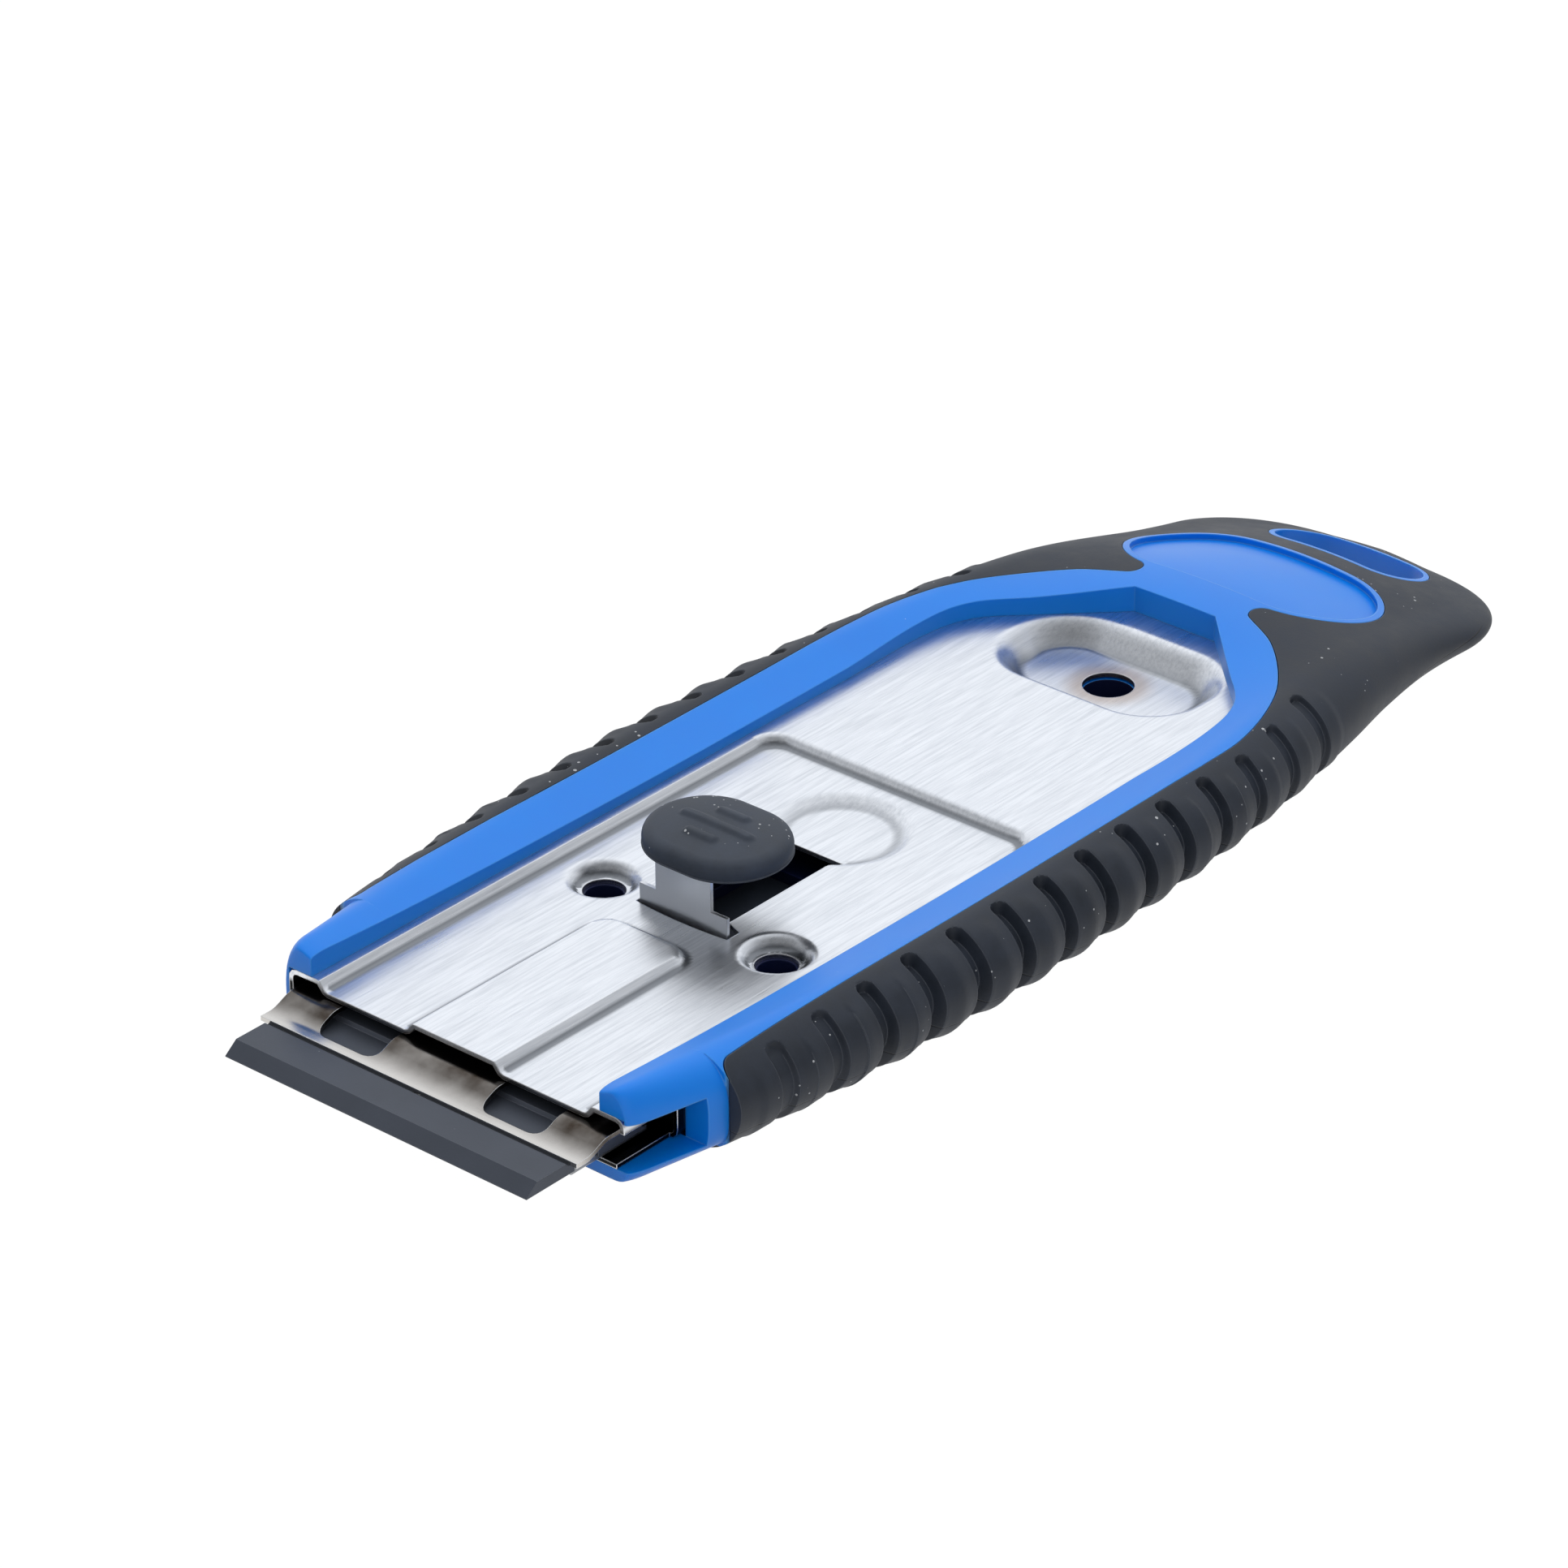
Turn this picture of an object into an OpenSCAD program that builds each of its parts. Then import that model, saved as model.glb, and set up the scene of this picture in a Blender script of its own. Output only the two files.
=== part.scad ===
// Razor blade scraper with a sliding blade carriage and a thumb latch.
// The origin is on the rest plane, midway between the blade's edge and the tail.
// +Y points to the tail, +Z up, and the sheath's open side pocket faces +X.

/* [Handle] */
// Length of the tail behind the core's frame
tail_len = 34.9; // [34:0.1:38]
// Height of the grip's shoulders above the rest plane
grip_height = 10.1; // [9.6:0.1:10.8]
// Depth of the rest plane below the sheath's rear plate
rest_drop = 7.7; // [7.5:0.1:8.4]
// Reach of the rounded flanks, in from the widest line
flank_reach = 6; // [5.4:0.1:6.4]
// Fullness of the flanks: 1 is an ellipse, and more is flatter
flank_power = 1.02; // [1:0.02:1.2]
// Radius of the tail's corners in plan
tail_r = 12; // [8:0.5:12]
// Place of the overmould's front edge behind the front face
grip_front = 10.5; // [9.6:0.1:11.4]
// Thickness of the overmould under the core
grip_floor = 0.9; // [0.6:0.1:1.1]

/* [Finger grooves] */
// Grooves on each side
groove_count = 14; // [9:1:14]
// Spacing of the grooves
groove_pitch = 6.45; // [6:0.05:6.6]
// Place of the first groove behind the front face
groove_first = 16.6; // [15.6:0.1:17.6]
// Width of a groove at the surface
groove_w = 2.7; // [2:0.1:3.4]
// Depth of a groove
groove_depth = 1.15; // [0.6:0.05:1.5]
// Bulge of the lobes between the grooves
lobe_rise = 0.25; // [0.1:0.05:0.4]

/* [Blue core] */
// Width of the core's rails beside the steel that shows
rail_w = 4.8; // [4.4:0.1:5.2]
// Length of the core's frame around the steel
core_len = 110.6; // [110.2:0.1:111.2]
// Wall of the core beside the sheath at its front face
nose_wall = 0.9; // [0.8:0.05:1.4]
// Wall of the core beside the sheath just in front of the overmould
cheek_wall = 3.4; // [3:0.1:3.8]
// Reach of the nose's round edges, in from its sides, at the front face
nose_reach = 2.4; // [2:0.1:2.6]
// Reach of those edges just in front of the overmould
cheek_reach = 4.4; // [3.6:0.1:5]
// Half width of the neck between the frame and the thumb pad
neck_half = 7.2; // [6:0.1:8]
// Radius of the thumb pad's ends
pad_r = 8.5; // [7.9:0.1:8.8]
// Half distance between the thumb pad's end centres
pad_half = 6.5; // [6:0.1:7.2]
// Distance of the thumb pad's middle behind the core's frame
pad_gap = 11.3; // [10.6:0.1:11.6]
// Depth of the thumb pad below its rim
pad_sink = 0.7; // [0.4:0.05:0.9]
// Width of the thumb pad's rim
pad_rim = 0.7; // [0.5:0.05:1]
// Length of the side pocket at the front
pocket_len = 8.3; // [7.8:0.1:9]
// Thickness of the rail above the side pocket
pocket_roof = 0.4; // [0.3:0.05:0.6]

/* [Hanging slot] */
// Half width of the slot across its middle
slot_r = 4; // [3.6:0.1:4.3]
// Half distance between the slot's end centres
slot_half = 4.9; // [4.4:0.1:5.6]
// Distance of the slot's middle from the tail's end
slot_inset = 6.5; // [6.1:0.1:7]
// Thickness of the slot's lining
lining_t = 0.6; // [0.4:0.05:0.8]

/* [Sheath] */
// Thickness of the sheath's steel
steel_t = 0.5; // [0.4:0.02:0.56]
// Room between the jaws and the sheath's side walls
side_room = 1.2; // [1:0.05:1.4]
// Length of the channel that holds the carriage
channel_len = 72; // [70:0.5:76]
// Depth of the channel from the rear plate to the flanges' outer faces
channel_drop = 5.5; // [5.46:0.02:5.6]
// Bend radius of the channel, outside
bend_r = 1; // [0.8:0.05:1.2]
// Width of the channel's lower flanges
flange_w = 4.2; // [3.6:0.1:4.8]
// Width of the rails' lap over the sheath
rail_lap = 3; // [2.8:0.05:3.2]
// Width of the core's frame behind the steel that shows
frame_w = 2.1; // [1.6:0.1:2.6]
// Overlap of the rails over the rear plate's edge
plate_lap = 1.2; // [0.9:0.05:1.4]
// Depth of the trough in the sheath's face
trough_depth = 1; // [0.8:0.02:1.06]
// Strip of the sheath's face beside the trough
face_strip = 0.8; // [0.6:0.05:1]
// Place of the trough's rear step
step_y = 65.1; // [64.6:0.1:66]
// Horizontal run of the pressed slopes
slope_run = 1.1; // [0.9:0.05:1.3]
// Corner radius of the pressed trough and panel
press_r = 3; // [2.4:0.1:3.6]
// Half width of the raised middle panel at its foot
panel_half = 6.15; // [5.6:0.05:6.5]
// Length of the raised middle panel at its foot
panel_len = 27.6; // [26.6:0.1:28.4]
// Length of the notch in the side wall at the pocket
wall_notch = 7.2; // [6.6:0.1:7.8]

/* [Cups in the sheath] */
// Steel between the front cups and the cross slot
cup_web = 1.5; // [1.3:0.05:1.7]
// Place of the front cups behind the front face
cup_y = 32.9; // [32.4:0.1:33.4]
// Radius of a front cup at the trough's face
cup_r = 3.7; // [3.4:0.05:3.8]
// Depth of a front cup below the trough
cup_depth = 1.33; // [1:0.05:1.4]
// Horizontal run of a front cup's slope
cup_run = 0.8; // [0.7:0.05:1]
// Radius of a front cup's hole
cup_hole_r = 2.15; // [1.9:0.05:2.3]
// Radius of the round dimple behind the slot
dimple_r = 7.6; // [7:0.1:8]
// Depth of the round dimple below the trough
dimple_depth = 1; // [0.8:0.05:1.1]
// Horizontal run of the dimple's slope
dimple_run = 2.2; // [2:0.1:2.6]
// Distance of the round dimple in front of the trough's rear step
dimple_inset = 10.1; // [9.8:0.1:10.6]
// Half width of the rear cup
rear_cup_half = 12.6; // [12:0.1:13]
// Half length of the rear cup
rear_cup_len = 7.8; // [7.4:0.1:8]
// Corner radius of the rear cup
rear_cup_r = 7; // [6.6:0.1:7.3]
// Horizontal run of the rear cup's slope
rear_run = 2.8; // [2.5:0.1:3.1]
// Depth of the rear cup
rear_cup_depth = 2.4; // [2:0.05:2.5]
// Distance of the rear cup in front of the steel's rear end
rear_cup_inset = 10.9; // [10.4:0.1:11.4]
// Radius of the rear cup's hole
rear_hole_r = 2.7; // [2.4:0.05:3]

/* [Latch slot] */
// Place of the cross slot's middle behind the front face
latch_y = 32.2; // [32:0.05:32.5]
// Half width of the cross slot
cross_half = 5.8; // [5.7:0.02:6]
// Length of the cross slot along the sheath
cross_len = 2; // [1.8:0.05:2.2]
// Part of the cross slot's length in front of the latch's neck
cross_front = 0.65; // [0.6:0.05:0.8]
// Half width of the long slot
long_half = 3.8; // [3.7:0.02:4]
// Spare length of the long slot behind the latch drawn in
slot_spare = 1.9; // [1.6:0.1:2.4]

/* [Blade] */
// Length of the blade
blade_len = 38.1; // [37.9:0.05:38.3]
// Width of the blade from edge to edge
blade_w = 16; // [15.6:0.1:16.4]
// Thickness of the blade's strips
blade_t = 1.25; // [1.1:0.05:1.35]
// Reach of the cutting edge in front of the sheath
blade_reach = 10.8; // [10.2:0.1:11.2]
// Width of the ground bevels
bevel_w = 1.5; // [1.3:0.1:1.8]
// Thickness left at the cutting edge
edge_t = 0.1; // [0.06:0.02:0.2]
// Width of the thinner web in the middle
web_w = 5.4; // [5.2:0.1:6]
// Step from the strips down to the web
web_step = 0.3; // [0.2:0.02:0.4]
// Radius of the end notches and half width of the middle slot
notch_r = 1.6; // [1.4:0.05:1.8]
// Depth of the end notches
notch_depth = 3.2; // [2.8:0.1:3.6]
// Length of the middle slot across the blade
eye_len = 4.8; // [4.6:0.1:5]

/* [Carriage] */
// Radius of the studs that hold the blade
stud_r = 1.2; // [1:0.05:1.3]
// Travel of the carriage from locked out to drawn in
travel = 17; // [16:0.1:17]
// Thickness of the jaws' steel
jaw_t = 0.5; // [0.4:0.02:0.54]
// Reach of the upper jaw past the blade's ends
jaw_over = 0.95; // [0.8:0.05:1.1]
// Inset of the lower jaw from the blade's ends
carrier_inset = 0.3; // [0.2:0.05:0.4]
// Drop of the lip below the jaw
lip_drop = 0.95; // [0.8:0.05:1.1]
// Reach of the upper jaw's lip in front of the blade's middle line
lip_ahead = 2.3; // [1.8:0.1:2.6]
// Reach of the upper jaw's flat part in front of the sheath
jaw_reach = 0.95; // [0.8:0.05:1.2]
// Gap between the sheath's trough and the upper jaw
run_gap = 0.13; // [0.08:0.01:0.2]
// Width of the lip in front of the windows
lip_w = 1.1; // [0.9:0.05:1.3]
// Inner edge of the windows from the middle
window_in = 6.6; // [6.2:0.1:6.8]
// Outer edge of the windows from the middle
window_out = 14.2; // [13.6:0.1:14.6]
// Place behind the front face from which the windows are wider
window_y = 1.1; // [0.9:0.1:1.6]
// Corner radius of the windows
window_r = 1.5; // [1:0.1:2]
// Clearance of the fork's arms beside the front cups
cup_gap = 0.4; // [0.3:0.05:0.5]
// End of the fork's arms behind the front face
arm_end = 34; // [32:0.5:36]
// Length of the riveted middle strap behind the blade
strap_len = 7.4; // [6.8:0.1:7.6]
// Radius of the rivets' shanks
rivet_r = 1; // [0.8:0.05:1.2]
// Radius of the rivets' heads
rivet_head_r = 1.6; // [1.4:0.05:1.8]
// Distance of the rivets from the middle
rivet_x = 3; // [2.6:0.1:3.2]
// Distance of the rivets from the strap's end
rivet_inset = 2.7; // [2.5:0.1:2.9]

/* [Latch] */
// Thickness of the latch's spring steel
leaf_t = 0.4; // [0.3:0.02:0.44]
// Half width of the leaf
leaf_half = 5; // [4.6:0.1:5.2]
// Half width of the locking shoulders
shoulder_half = 5.55; // [5.4:0.02:5.6]
// Height of the shoulders above the rear plate
shoulder_h = 1; // [0.8:0.05:1.2]
// Half width of the neck that rises to the button
stem_half = 3.5; // [3.3:0.02:3.6]
// Height of the button's underside above the rear plate, at its front
button_h = 4.5; // [4.3:0.1:5]
// Tilt of the button, in degrees
button_tilt = 1; // [0.5:0.5:3]
// Radius of the button's round ends
button_r = 6.2; // [5.8:0.1:6.5]
// Half distance between the button's end centres
button_half = 1.5; // [1:0.1:1.9]
// Thickness of the button
button_t = 2.6; // [2.2:0.1:2.8]
// Lead of the button's front edge before the latch's neck
button_lead = 1.3; // [1:0.1:1.6]
// Radius of the ridges on the button
ridge_r = 0.5; // [0.4:0.05:0.6]
// Half length of the middle ridge, without its round ends
ridge_long = 3.9; // [3.4:0.1:4.2]
// Half length of the two short ridges, without their round ends
ridge_short = 1.4; // [1:0.1:2]
// Distance of the short ridges from the middle one
ridge_gap = 2.4; // [2.1:0.1:2.6]
// Length of the spring's tongue inside the button
tongue_len = 9.9; // [9:0.1:10.5]
// Height of the tongue above the button's underside
tongue_lift = 0.85; // [0.7:0.05:1]

/* [Hidden] */
$fn = 64;

// Overrun of the cuts past the faces they open
over = 1;
// Share of the grip's height at which the flanks are widest
waist_share = 0.54;
// Half width of the grip along the handle: shares of handle_len and grip_half
plan_shares = [[0, 0.84], [0.1, 0.92], [0.2, 0.968], [0.3, 0.996], [0.364, 1], [0.424, 0.994],
               [0.505, 0.979], [0.586, 0.95], [0.667, 0.901], [0.748, 0.827], [0.808, 0.758],
               [0.869, 0.705], [0.94, 0.69], [1, 0.69]];
// Height of the grip's shoulders: shares of handle_len and grip_height
shoulder_shares = [[0, 1], [0.606, 1], [0.687, 1.005], [0.748, 0.985], [0.788, 0.93],
                   [0.828, 0.822], [0.879, 0.648], [0.919, 0.498], [0.96, 0.35], [0.99, 0.24],
                   [1, 0.2]];
// Height of the middle line between the shoulders, in the same shares
middle_shares = [[0, 0.678], [0.556, 0.678], [0.606, 0.735], [0.657, 0.841], [0.707, 0.98],
                 [0.748, 1.065], [0.788, 1.07], [0.828, 0.995], [0.879, 0.835], [0.919, 0.655],
                 [0.96, 0.45], [0.99, 0.285], [1, 0.22]];
// Edge of the steel that shows: shares of window_half and window_len
window_shares = [[1, 0.72], [1.015, 0.79], [1.01, 0.83], [0.985, 0.863], [0.93, 0.888],
                 [0.847, 0.907], [0.737, 0.925], [0.286, 1]];
// Edge of the core against the overmould: shares of core_half and core_len
frame_shares = [[1, 0.75], [0.985, 0.81], [0.914, 0.869], [0.785, 0.923], [0.56, 0.975],
                [0.344, 1]];
// Angles of a flank's section points, from the top round to the bottom
flank_angles = [90, 78, 66, 52, 34, 12, -12, -34, -56, -74, -90];
// Shares of the way from the middle line to the shoulder, for the section's top points
top_shares = [0, 0.35, 0.7];
// Angles between which a groove runs out at its top and bottom
groove_top = [76, 62];
groove_foot = [-76, -60];
// Shares of the full groove depth for the first two grooves and the last
first_groove_shares = [0.4, 0.75];
last_groove_share = 0.55;
// Fullness of the nose's upper and lower edges, in the terms of flank_power
nose_powers = [0.9, 0.5];
// Share of a groove's width that is flat at the bottom
groove_flat_share = 0.42;
// Round edge of the button: insets and heights, as shares of its thickness
button_shares = [[0.333, 0], [0.111, 0.167], [0, 0.467], [0.111, 0.733], [0.4, 0.9], [1.2, 0.983]];

// Clearance of the studs in the blade's notches
stud_gap = 0.1;
// Start of the floor's opening under the latch, behind the front face
relief_y = 14;

jaw_half = blade_len / 2 + jaw_over;
carrier_half = blade_len / 2 - carrier_inset;
sheath_half = jaw_half + side_room;
window_half = sheath_half - rail_lap;
trough_half = window_half - face_strip;
core_half = window_half + rail_w;
grip_half = core_half + flank_reach;
nose_half = sheath_half + nose_wall;
cheek_half = sheath_half + cheek_wall;
handle_len = core_len + tail_len;
window_len = core_len - frame_w;
pad_y = core_len + pad_gap;
slot_y = handle_len - slot_inset;
cup_x = cross_half + cup_web + cup_r;
dimple_y = step_y - dimple_inset;
rear_cup_y = window_len - rear_cup_inset;
long_end = latch_y + travel + slot_spare;
blade_y = blade_w / 2 - blade_reach;
lip_reach = lip_ahead - blade_y;
strap_end = blade_w - blade_reach + strap_len;
rivet_y = strap_end - rivet_inset;
mid_y = (handle_len - blade_reach) / 2;
core_z = grip_floor - rest_drop;
floor_z = -channel_drop;
jaw_top = -trough_depth - steel_t - run_gap;
jaw_foot = jaw_top - jaw_t;
leaf_foot = jaw_foot - leaf_t;
web_top = jaw_foot - lip_drop;
blade_top = web_top + web_step;
blade_foot = blade_top - blade_t;
carrier_foot = blade_foot - jaw_t;
lining_r = slot_r + lining_t;
// Thickness of the hidden tongue that joins the core to the slot's lining
tongue_t = 1.2;
// Half width of that tongue
tongue_half = 9;
// Outer radius of the hollow bosses under the front cups
boss_r = 3;
// Radius of the blind holes in the bosses
boss_hole_r = 1.9;
// Thickness of the core left under the blind holes
boss_floor = 0.6;
// Depth that the pressed steel solid needs below the rear plate
well = channel_drop - bend_r;
// Bow of the cross slot's front rim
cross_bow = 0.5;
// Length of the corners between the cross slot and the long slot
cross_corner = 0.8;

function slope_at(t, i) =
    let (a = max(i - 1, 0), b = min(i + 1, len(t) - 1))
    (t[b][1] - t[a][1]) / (t[b][0] - t[a][0]);

function span_of(t, s, i = 0) = (i >= len(t) - 2 || s < t[i + 1][0]) ? i : span_of(t, s, i + 1);

// Smooth value of a table of pairs at the place s
function smooth_at(t, s) =
    let (i = span_of(t, s), h = t[i + 1][0] - t[i][0], u = (s - t[i][0]) / h)
    (2 * u ^ 3 - 3 * u ^ 2 + 1) * t[i][1] + (u ^ 3 - 2 * u ^ 2 + u) * h * slope_at(t, i)
    + (3 * u ^ 2 - 2 * u ^ 3) * t[i + 1][1] + (u ^ 3 - u ^ 2) * h * slope_at(t, i + 1);

function shoulder_z(y) = smooth_at(shoulder_shares, y / handle_len) * grip_height - rest_drop;
function middle_z(y) = smooth_at(middle_shares, y / handle_len) * grip_height - rest_drop;
function waist_z(y) = waist_share * (shoulder_z(y) + rest_drop) - rest_drop;

// Inset of the tail's round corners at y
function tail_inset(y) =
    let (d = max(0, y - handle_len + tail_r))
    tail_r - sqrt(max(0, tail_r ^ 2 - d ^ 2));

function half_at(y) = smooth_at(plan_shares, y / handle_len) * grip_half - tail_inset(y);

// Share of a step from a to b that x has passed, held between 0 and 1
function ramp(a, b, x) = min(1, max(0, (x - a) / (b - a)));

function groove_strength(k) =
    k < len(first_groove_shares) ? first_groove_shares[k]
    : k == groove_count - 1 ? last_groove_share : 1;

// Depth of the grooves at the place y and the flank angle a, with the lobes' bulge taken off
function groove_at(y, a) =
    let (k = round((y - groove_first) / groove_pitch),
         off = abs(y - groove_first - k * groove_pitch),
         fade = ramp(groove_top[0], groove_top[1], a) * ramp(groove_foot[0], groove_foot[1], a),
         cut = ramp(groove_w / 2, groove_w * groove_flat_share / 2, off),
         lobe = ramp(groove_w / 2, groove_pitch / 2, off))
    (k < 0 || k >= groove_count) ? 0
    : fade * (groove_strength(k) * groove_depth * cut - lobe_rise * lobe);

// Half width and reach of the bare nose at y
function nose_at(y) = nose_half + (cheek_half - nose_half) * y / grip_front;
function nose_reach_at(y) = nose_reach + (cheek_reach - nose_reach) * y / grip_front;

// Right half of a section at y, from the top middle to the bottom middle
function half_section(y, half, reach, low, powers, grooved) =
    let (edge = half - reach, mid = middle_z(y), waist = waist_z(y),
         fall = (edge / (half_at(y) - flank_reach)) ^ 2,
         top = mid + (shoulder_z(y) - mid) * fall)
    concat(
        [for (s = top_shares) [s * edge, y, mid + (top - mid) * s ^ 2]],
        [for (a = flank_angles)
            let (g = grooved ? groove_at(y, a) : 0,
                 rise = a > 0 ? top - waist : waist - low,
                 power = a > 0 ? powers[0] : powers[1],
                 up = sign(a) * abs(sin(a)) ^ power)
            [edge + (reach - g) * max(0, cos(a)) ^ power, y, waist + (rise - g) * up]],
        [[0, y, low]]);

function whole(h) =
    let (n = len(h))
    concat(h, [for (i = [n - 2:-1:1]) [-h[i][0], h[i][1], h[i][2]]]);

function grip_section(y, grooved) =
    whole(half_section(y, half_at(y), flank_reach, -rest_drop, [flank_power, 1], grooved));
function nose_section(y) =
    whole(half_section(y, nose_at(y), nose_reach_at(y), core_z, nose_powers, false));

// Places of the sections along the tail's round corners
tail_places = [for (b = [0:18:90]) handle_len - tail_r + tail_r * sin(b)];
// Places of the sections of the plain handle, as shares of its length
plain_shares = [0.1, 0.16, 0.22, 0.28, 0.34, 0.4, 0.46, 0.52, 0.56, 0.6, 0.63, 0.66,
                0.69, 0.72, 0.74, 0.76, 0.78, 0.8, 0.83, 0.86, 0.89, 0.91];
// Places of the sections through one groove, as shares of its pitch and width
function groove_places(k) =
    let (c = groove_first + k * groove_pitch, w = groove_w / 2, f = w * groove_flat_share)
    [c - w, c - f, c + f, c + w, c + groove_pitch / 2];
last_groove_end = groove_first + (groove_count - 0.5) * groove_pitch;
grip_places = concat([grip_front],
    [for (k = [0:groove_count - 1]) each groove_places(k)],
    [for (s = plain_shares) if (s * handle_len > last_groove_end + over) s * handle_len]);

module loft(rings) {
    n = len(rings[0]);
    m = len(rings);
    foot = n / 2;
    rear = (m - 1) * n;
    polyhedron(
        points = [for (r = rings) each r],
        faces = concat(
            [for (k = [1:n - 2]) [foot, (foot + k) % n, (foot + k + 1) % n]],
            [for (k = [1:n - 2]) [foot + rear, (foot + k + 1) % n + rear, (foot + k) % n + rear]],
            [for (j = [0:m - 2]) for (i = [0:n - 1])
                let (a = j * n + i, b = j * n + (i + 1) % n)
                each [[a, a + n, b], [b, a + n, b + n]]]),
        convexity = 10);
}

// Prism between two heights over a flat outline
module prism(low, high) {
    translate([0, 0, low])
        linear_extrude(high - low)
            children();
}

// Extrusion along Y, from y0 to y1, of an outline drawn in X and Z
module along_y(y0, y1) {
    translate([0, y1, 0])
        rotate([90, 0, 0])
            linear_extrude(y1 - y0)
                children();
}

// Extrusion across X, over a half width, of an outline drawn in Y and Z
module across_x(half) {
    translate([-half, 0, 0])
        rotate([90, 0, 90])
            linear_extrude(2 * half)
                children();
}

module mirrored() {
    children();
    mirror([1, 0, 0]) children();
}

// Flat outline from a table of right-hand edge points, closed at y0
module outline(points, y0) {
    right = concat([[points[0][0], y0]], points);
    left = [for (i = [len(right) - 1:-1:0]) [-right[i][0], right[i][1]]];
    polygon(concat(right, left));
}

module obround(r, half) {
    mirrored() translate([half, 0]) circle(r);
    translate([-half, -r]) square([2 * half, 2 * r]);
}

// Sunk pan with sloping walls and round corners; its wide face is at z = 0
module pan(half, y0, y1, depth, r, run, open_front) {
    corners = open_front ? [y1 - r] : [y0 + r, y1 - r];
    foot = half - run;
    front_foot = open_front ? y0 : y0 + run;
    front = open_front ? y0 : y0 + r;
    along_y(front, y1 - r)
        polygon([[-foot, -depth], [foot, -depth], [half, 0], [half, over], [-half, over], [-half, 0]]);
    across_x(half - r)
        polygon([[front_foot, -depth], [y1 - run, -depth], [y1, 0], [y1, over],
                 [y0, over], [y0, 0]]);
    for (y = corners)
        mirrored()
            translate([half - r, y, 0]) {
                translate([0, 0, -depth]) cylinder(h = depth, r1 = r - run, r2 = r);
                cylinder(h = over, r = r);
            }
}

module round_pan(x, y, z, r, depth, run) {
    translate([x, y, z - depth])
        cylinder(h = depth, r1 = r - run, r2 = r);
    translate([x, y, z])
        cylinder(h = over, r = r);
}

function window_edge(extra) =
    [for (s = window_shares)
        [s[0] * window_half + extra, s[1] * window_len + (s[1] == 1 ? extra : 0)]];
function frame_edge() = [for (s = frame_shares) [s[0] * core_half, s[1] * core_len]];

module plate_outline(grow) {
    outline(window_edge(plate_lap + grow), -grow);
    translate([-sheath_half + bend_r - grow, -grow])
        square([2 * (sheath_half - bend_r + grow), channel_len + 2 * grow]);
}

// Everything below the sheath's pressed face, lowered by drop
module below_face(drop, grow) {
    translate([0, 0, -drop])
        difference() {
            union() {
                difference() {
                    prism(-well, 0) plate_outline(grow);
                    pan(trough_half, -2 * over, step_y, trough_depth, press_r, slope_run, true);
                }
                translate([0, 0, -trough_depth])
                    mirror([0, 0, 1])
                        intersection() {
                            pan(panel_half, -grow, panel_len, trough_depth, press_r, slope_run,
                                true);
                            prism(-trough_depth, 0)
                                translate([-panel_half, -grow])
                                    square([2 * panel_half, panel_len + grow]);
                        }
            }
            mirrored() round_pan(cup_x, cup_y, -trough_depth, cup_r, cup_depth, cup_run);
            round_pan(0, dimple_y, -trough_depth, dimple_r, dimple_depth, dimple_run);
            pan_at_rear();
        }
}

module pan_at_rear() {
    pan(rear_cup_half, rear_cup_y - rear_cup_len, rear_cup_y + rear_cup_len,
        rear_cup_depth, rear_cup_r, rear_run, false);
}

// One bent side of the channel, drawn in X and Z
module channel_side() {
    wall_x = sheath_half - bend_r;
    inner_r = bend_r - steel_t;
    foot = floor_z + bend_r;
    translate([wall_x - over, -steel_t]) square([over, steel_t]);
    difference() {
        union() {
            translate([wall_x, -bend_r]) circle(bend_r);
            translate([wall_x, foot]) circle(bend_r);
            translate([wall_x, foot]) square([bend_r, -bend_r - foot]);
        }
        translate([wall_x, -bend_r]) circle(inner_r);
        translate([wall_x, foot]) circle(inner_r);
        translate([wall_x, foot]) square([inner_r, -bend_r - foot]);
        translate([wall_x - bend_r - over, floor_z - over])
            square([bend_r + over, channel_drop + 2 * over]);
    }
    translate([sheath_half - flange_w, floor_z])
        square([flange_w - bend_r, steel_t]);
}

module latch_slot() {
    y0 = latch_y - cross_front;
    y1 = y0 + cross_len;
    arc = [for (s = [-1:0.25:1]) [s * cross_half, y0 - cross_bow * (1 - s ^ 2)]];
    polygon(concat(arc,
        [[cross_half, y1], [long_half, y1 + cross_corner], [long_half, long_end],
         [-long_half, long_end], [-long_half, y1 + cross_corner], [-cross_half, y1]]));
}

module sheath_cover() {
    color("gainsboro")
        difference() {
            union() {
                difference() {
                    below_face(0, 0);
                    below_face(steel_t, over);
                }
                mirrored() along_y(0, channel_len) channel_side();
            }
            mirrored()
                translate([cup_x, cup_y, -well]) cylinder(h = well, r = cup_hole_r);
            translate([0, rear_cup_y, -well]) cylinder(h = well, r = rear_hole_r);
            prism(-well, over) latch_slot();
            translate([sheath_half - bend_r, -over, -channel_drop - over])
                cube([bend_r + over, wall_notch + over, channel_drop - steel_t]);
        }
}

module frame_outline() {
    outline(frame_edge(), grip_front);
}

module pad_outline(inset) {
    translate([0, pad_y]) obround(pad_r - inset, pad_half);
}

module neck_outline() {
    translate([-neck_half, core_len - pad_r])
        square([2 * neck_half, pad_y - core_len + pad_r]);
}

// All that the core takes out of the overmould; high is the top of its prisms
module core_space(high) {
    prism(core_z, high) {
        frame_outline();
        neck_outline();
        pad_outline(0);
        translate([0, slot_y]) obround(lining_r, slot_half);
    }
    prism(core_z, core_z + tongue_t)
        translate([-tongue_half, core_len - pad_r])
            square([2 * tongue_half, slot_y - core_len + pad_r]);
}

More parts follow.
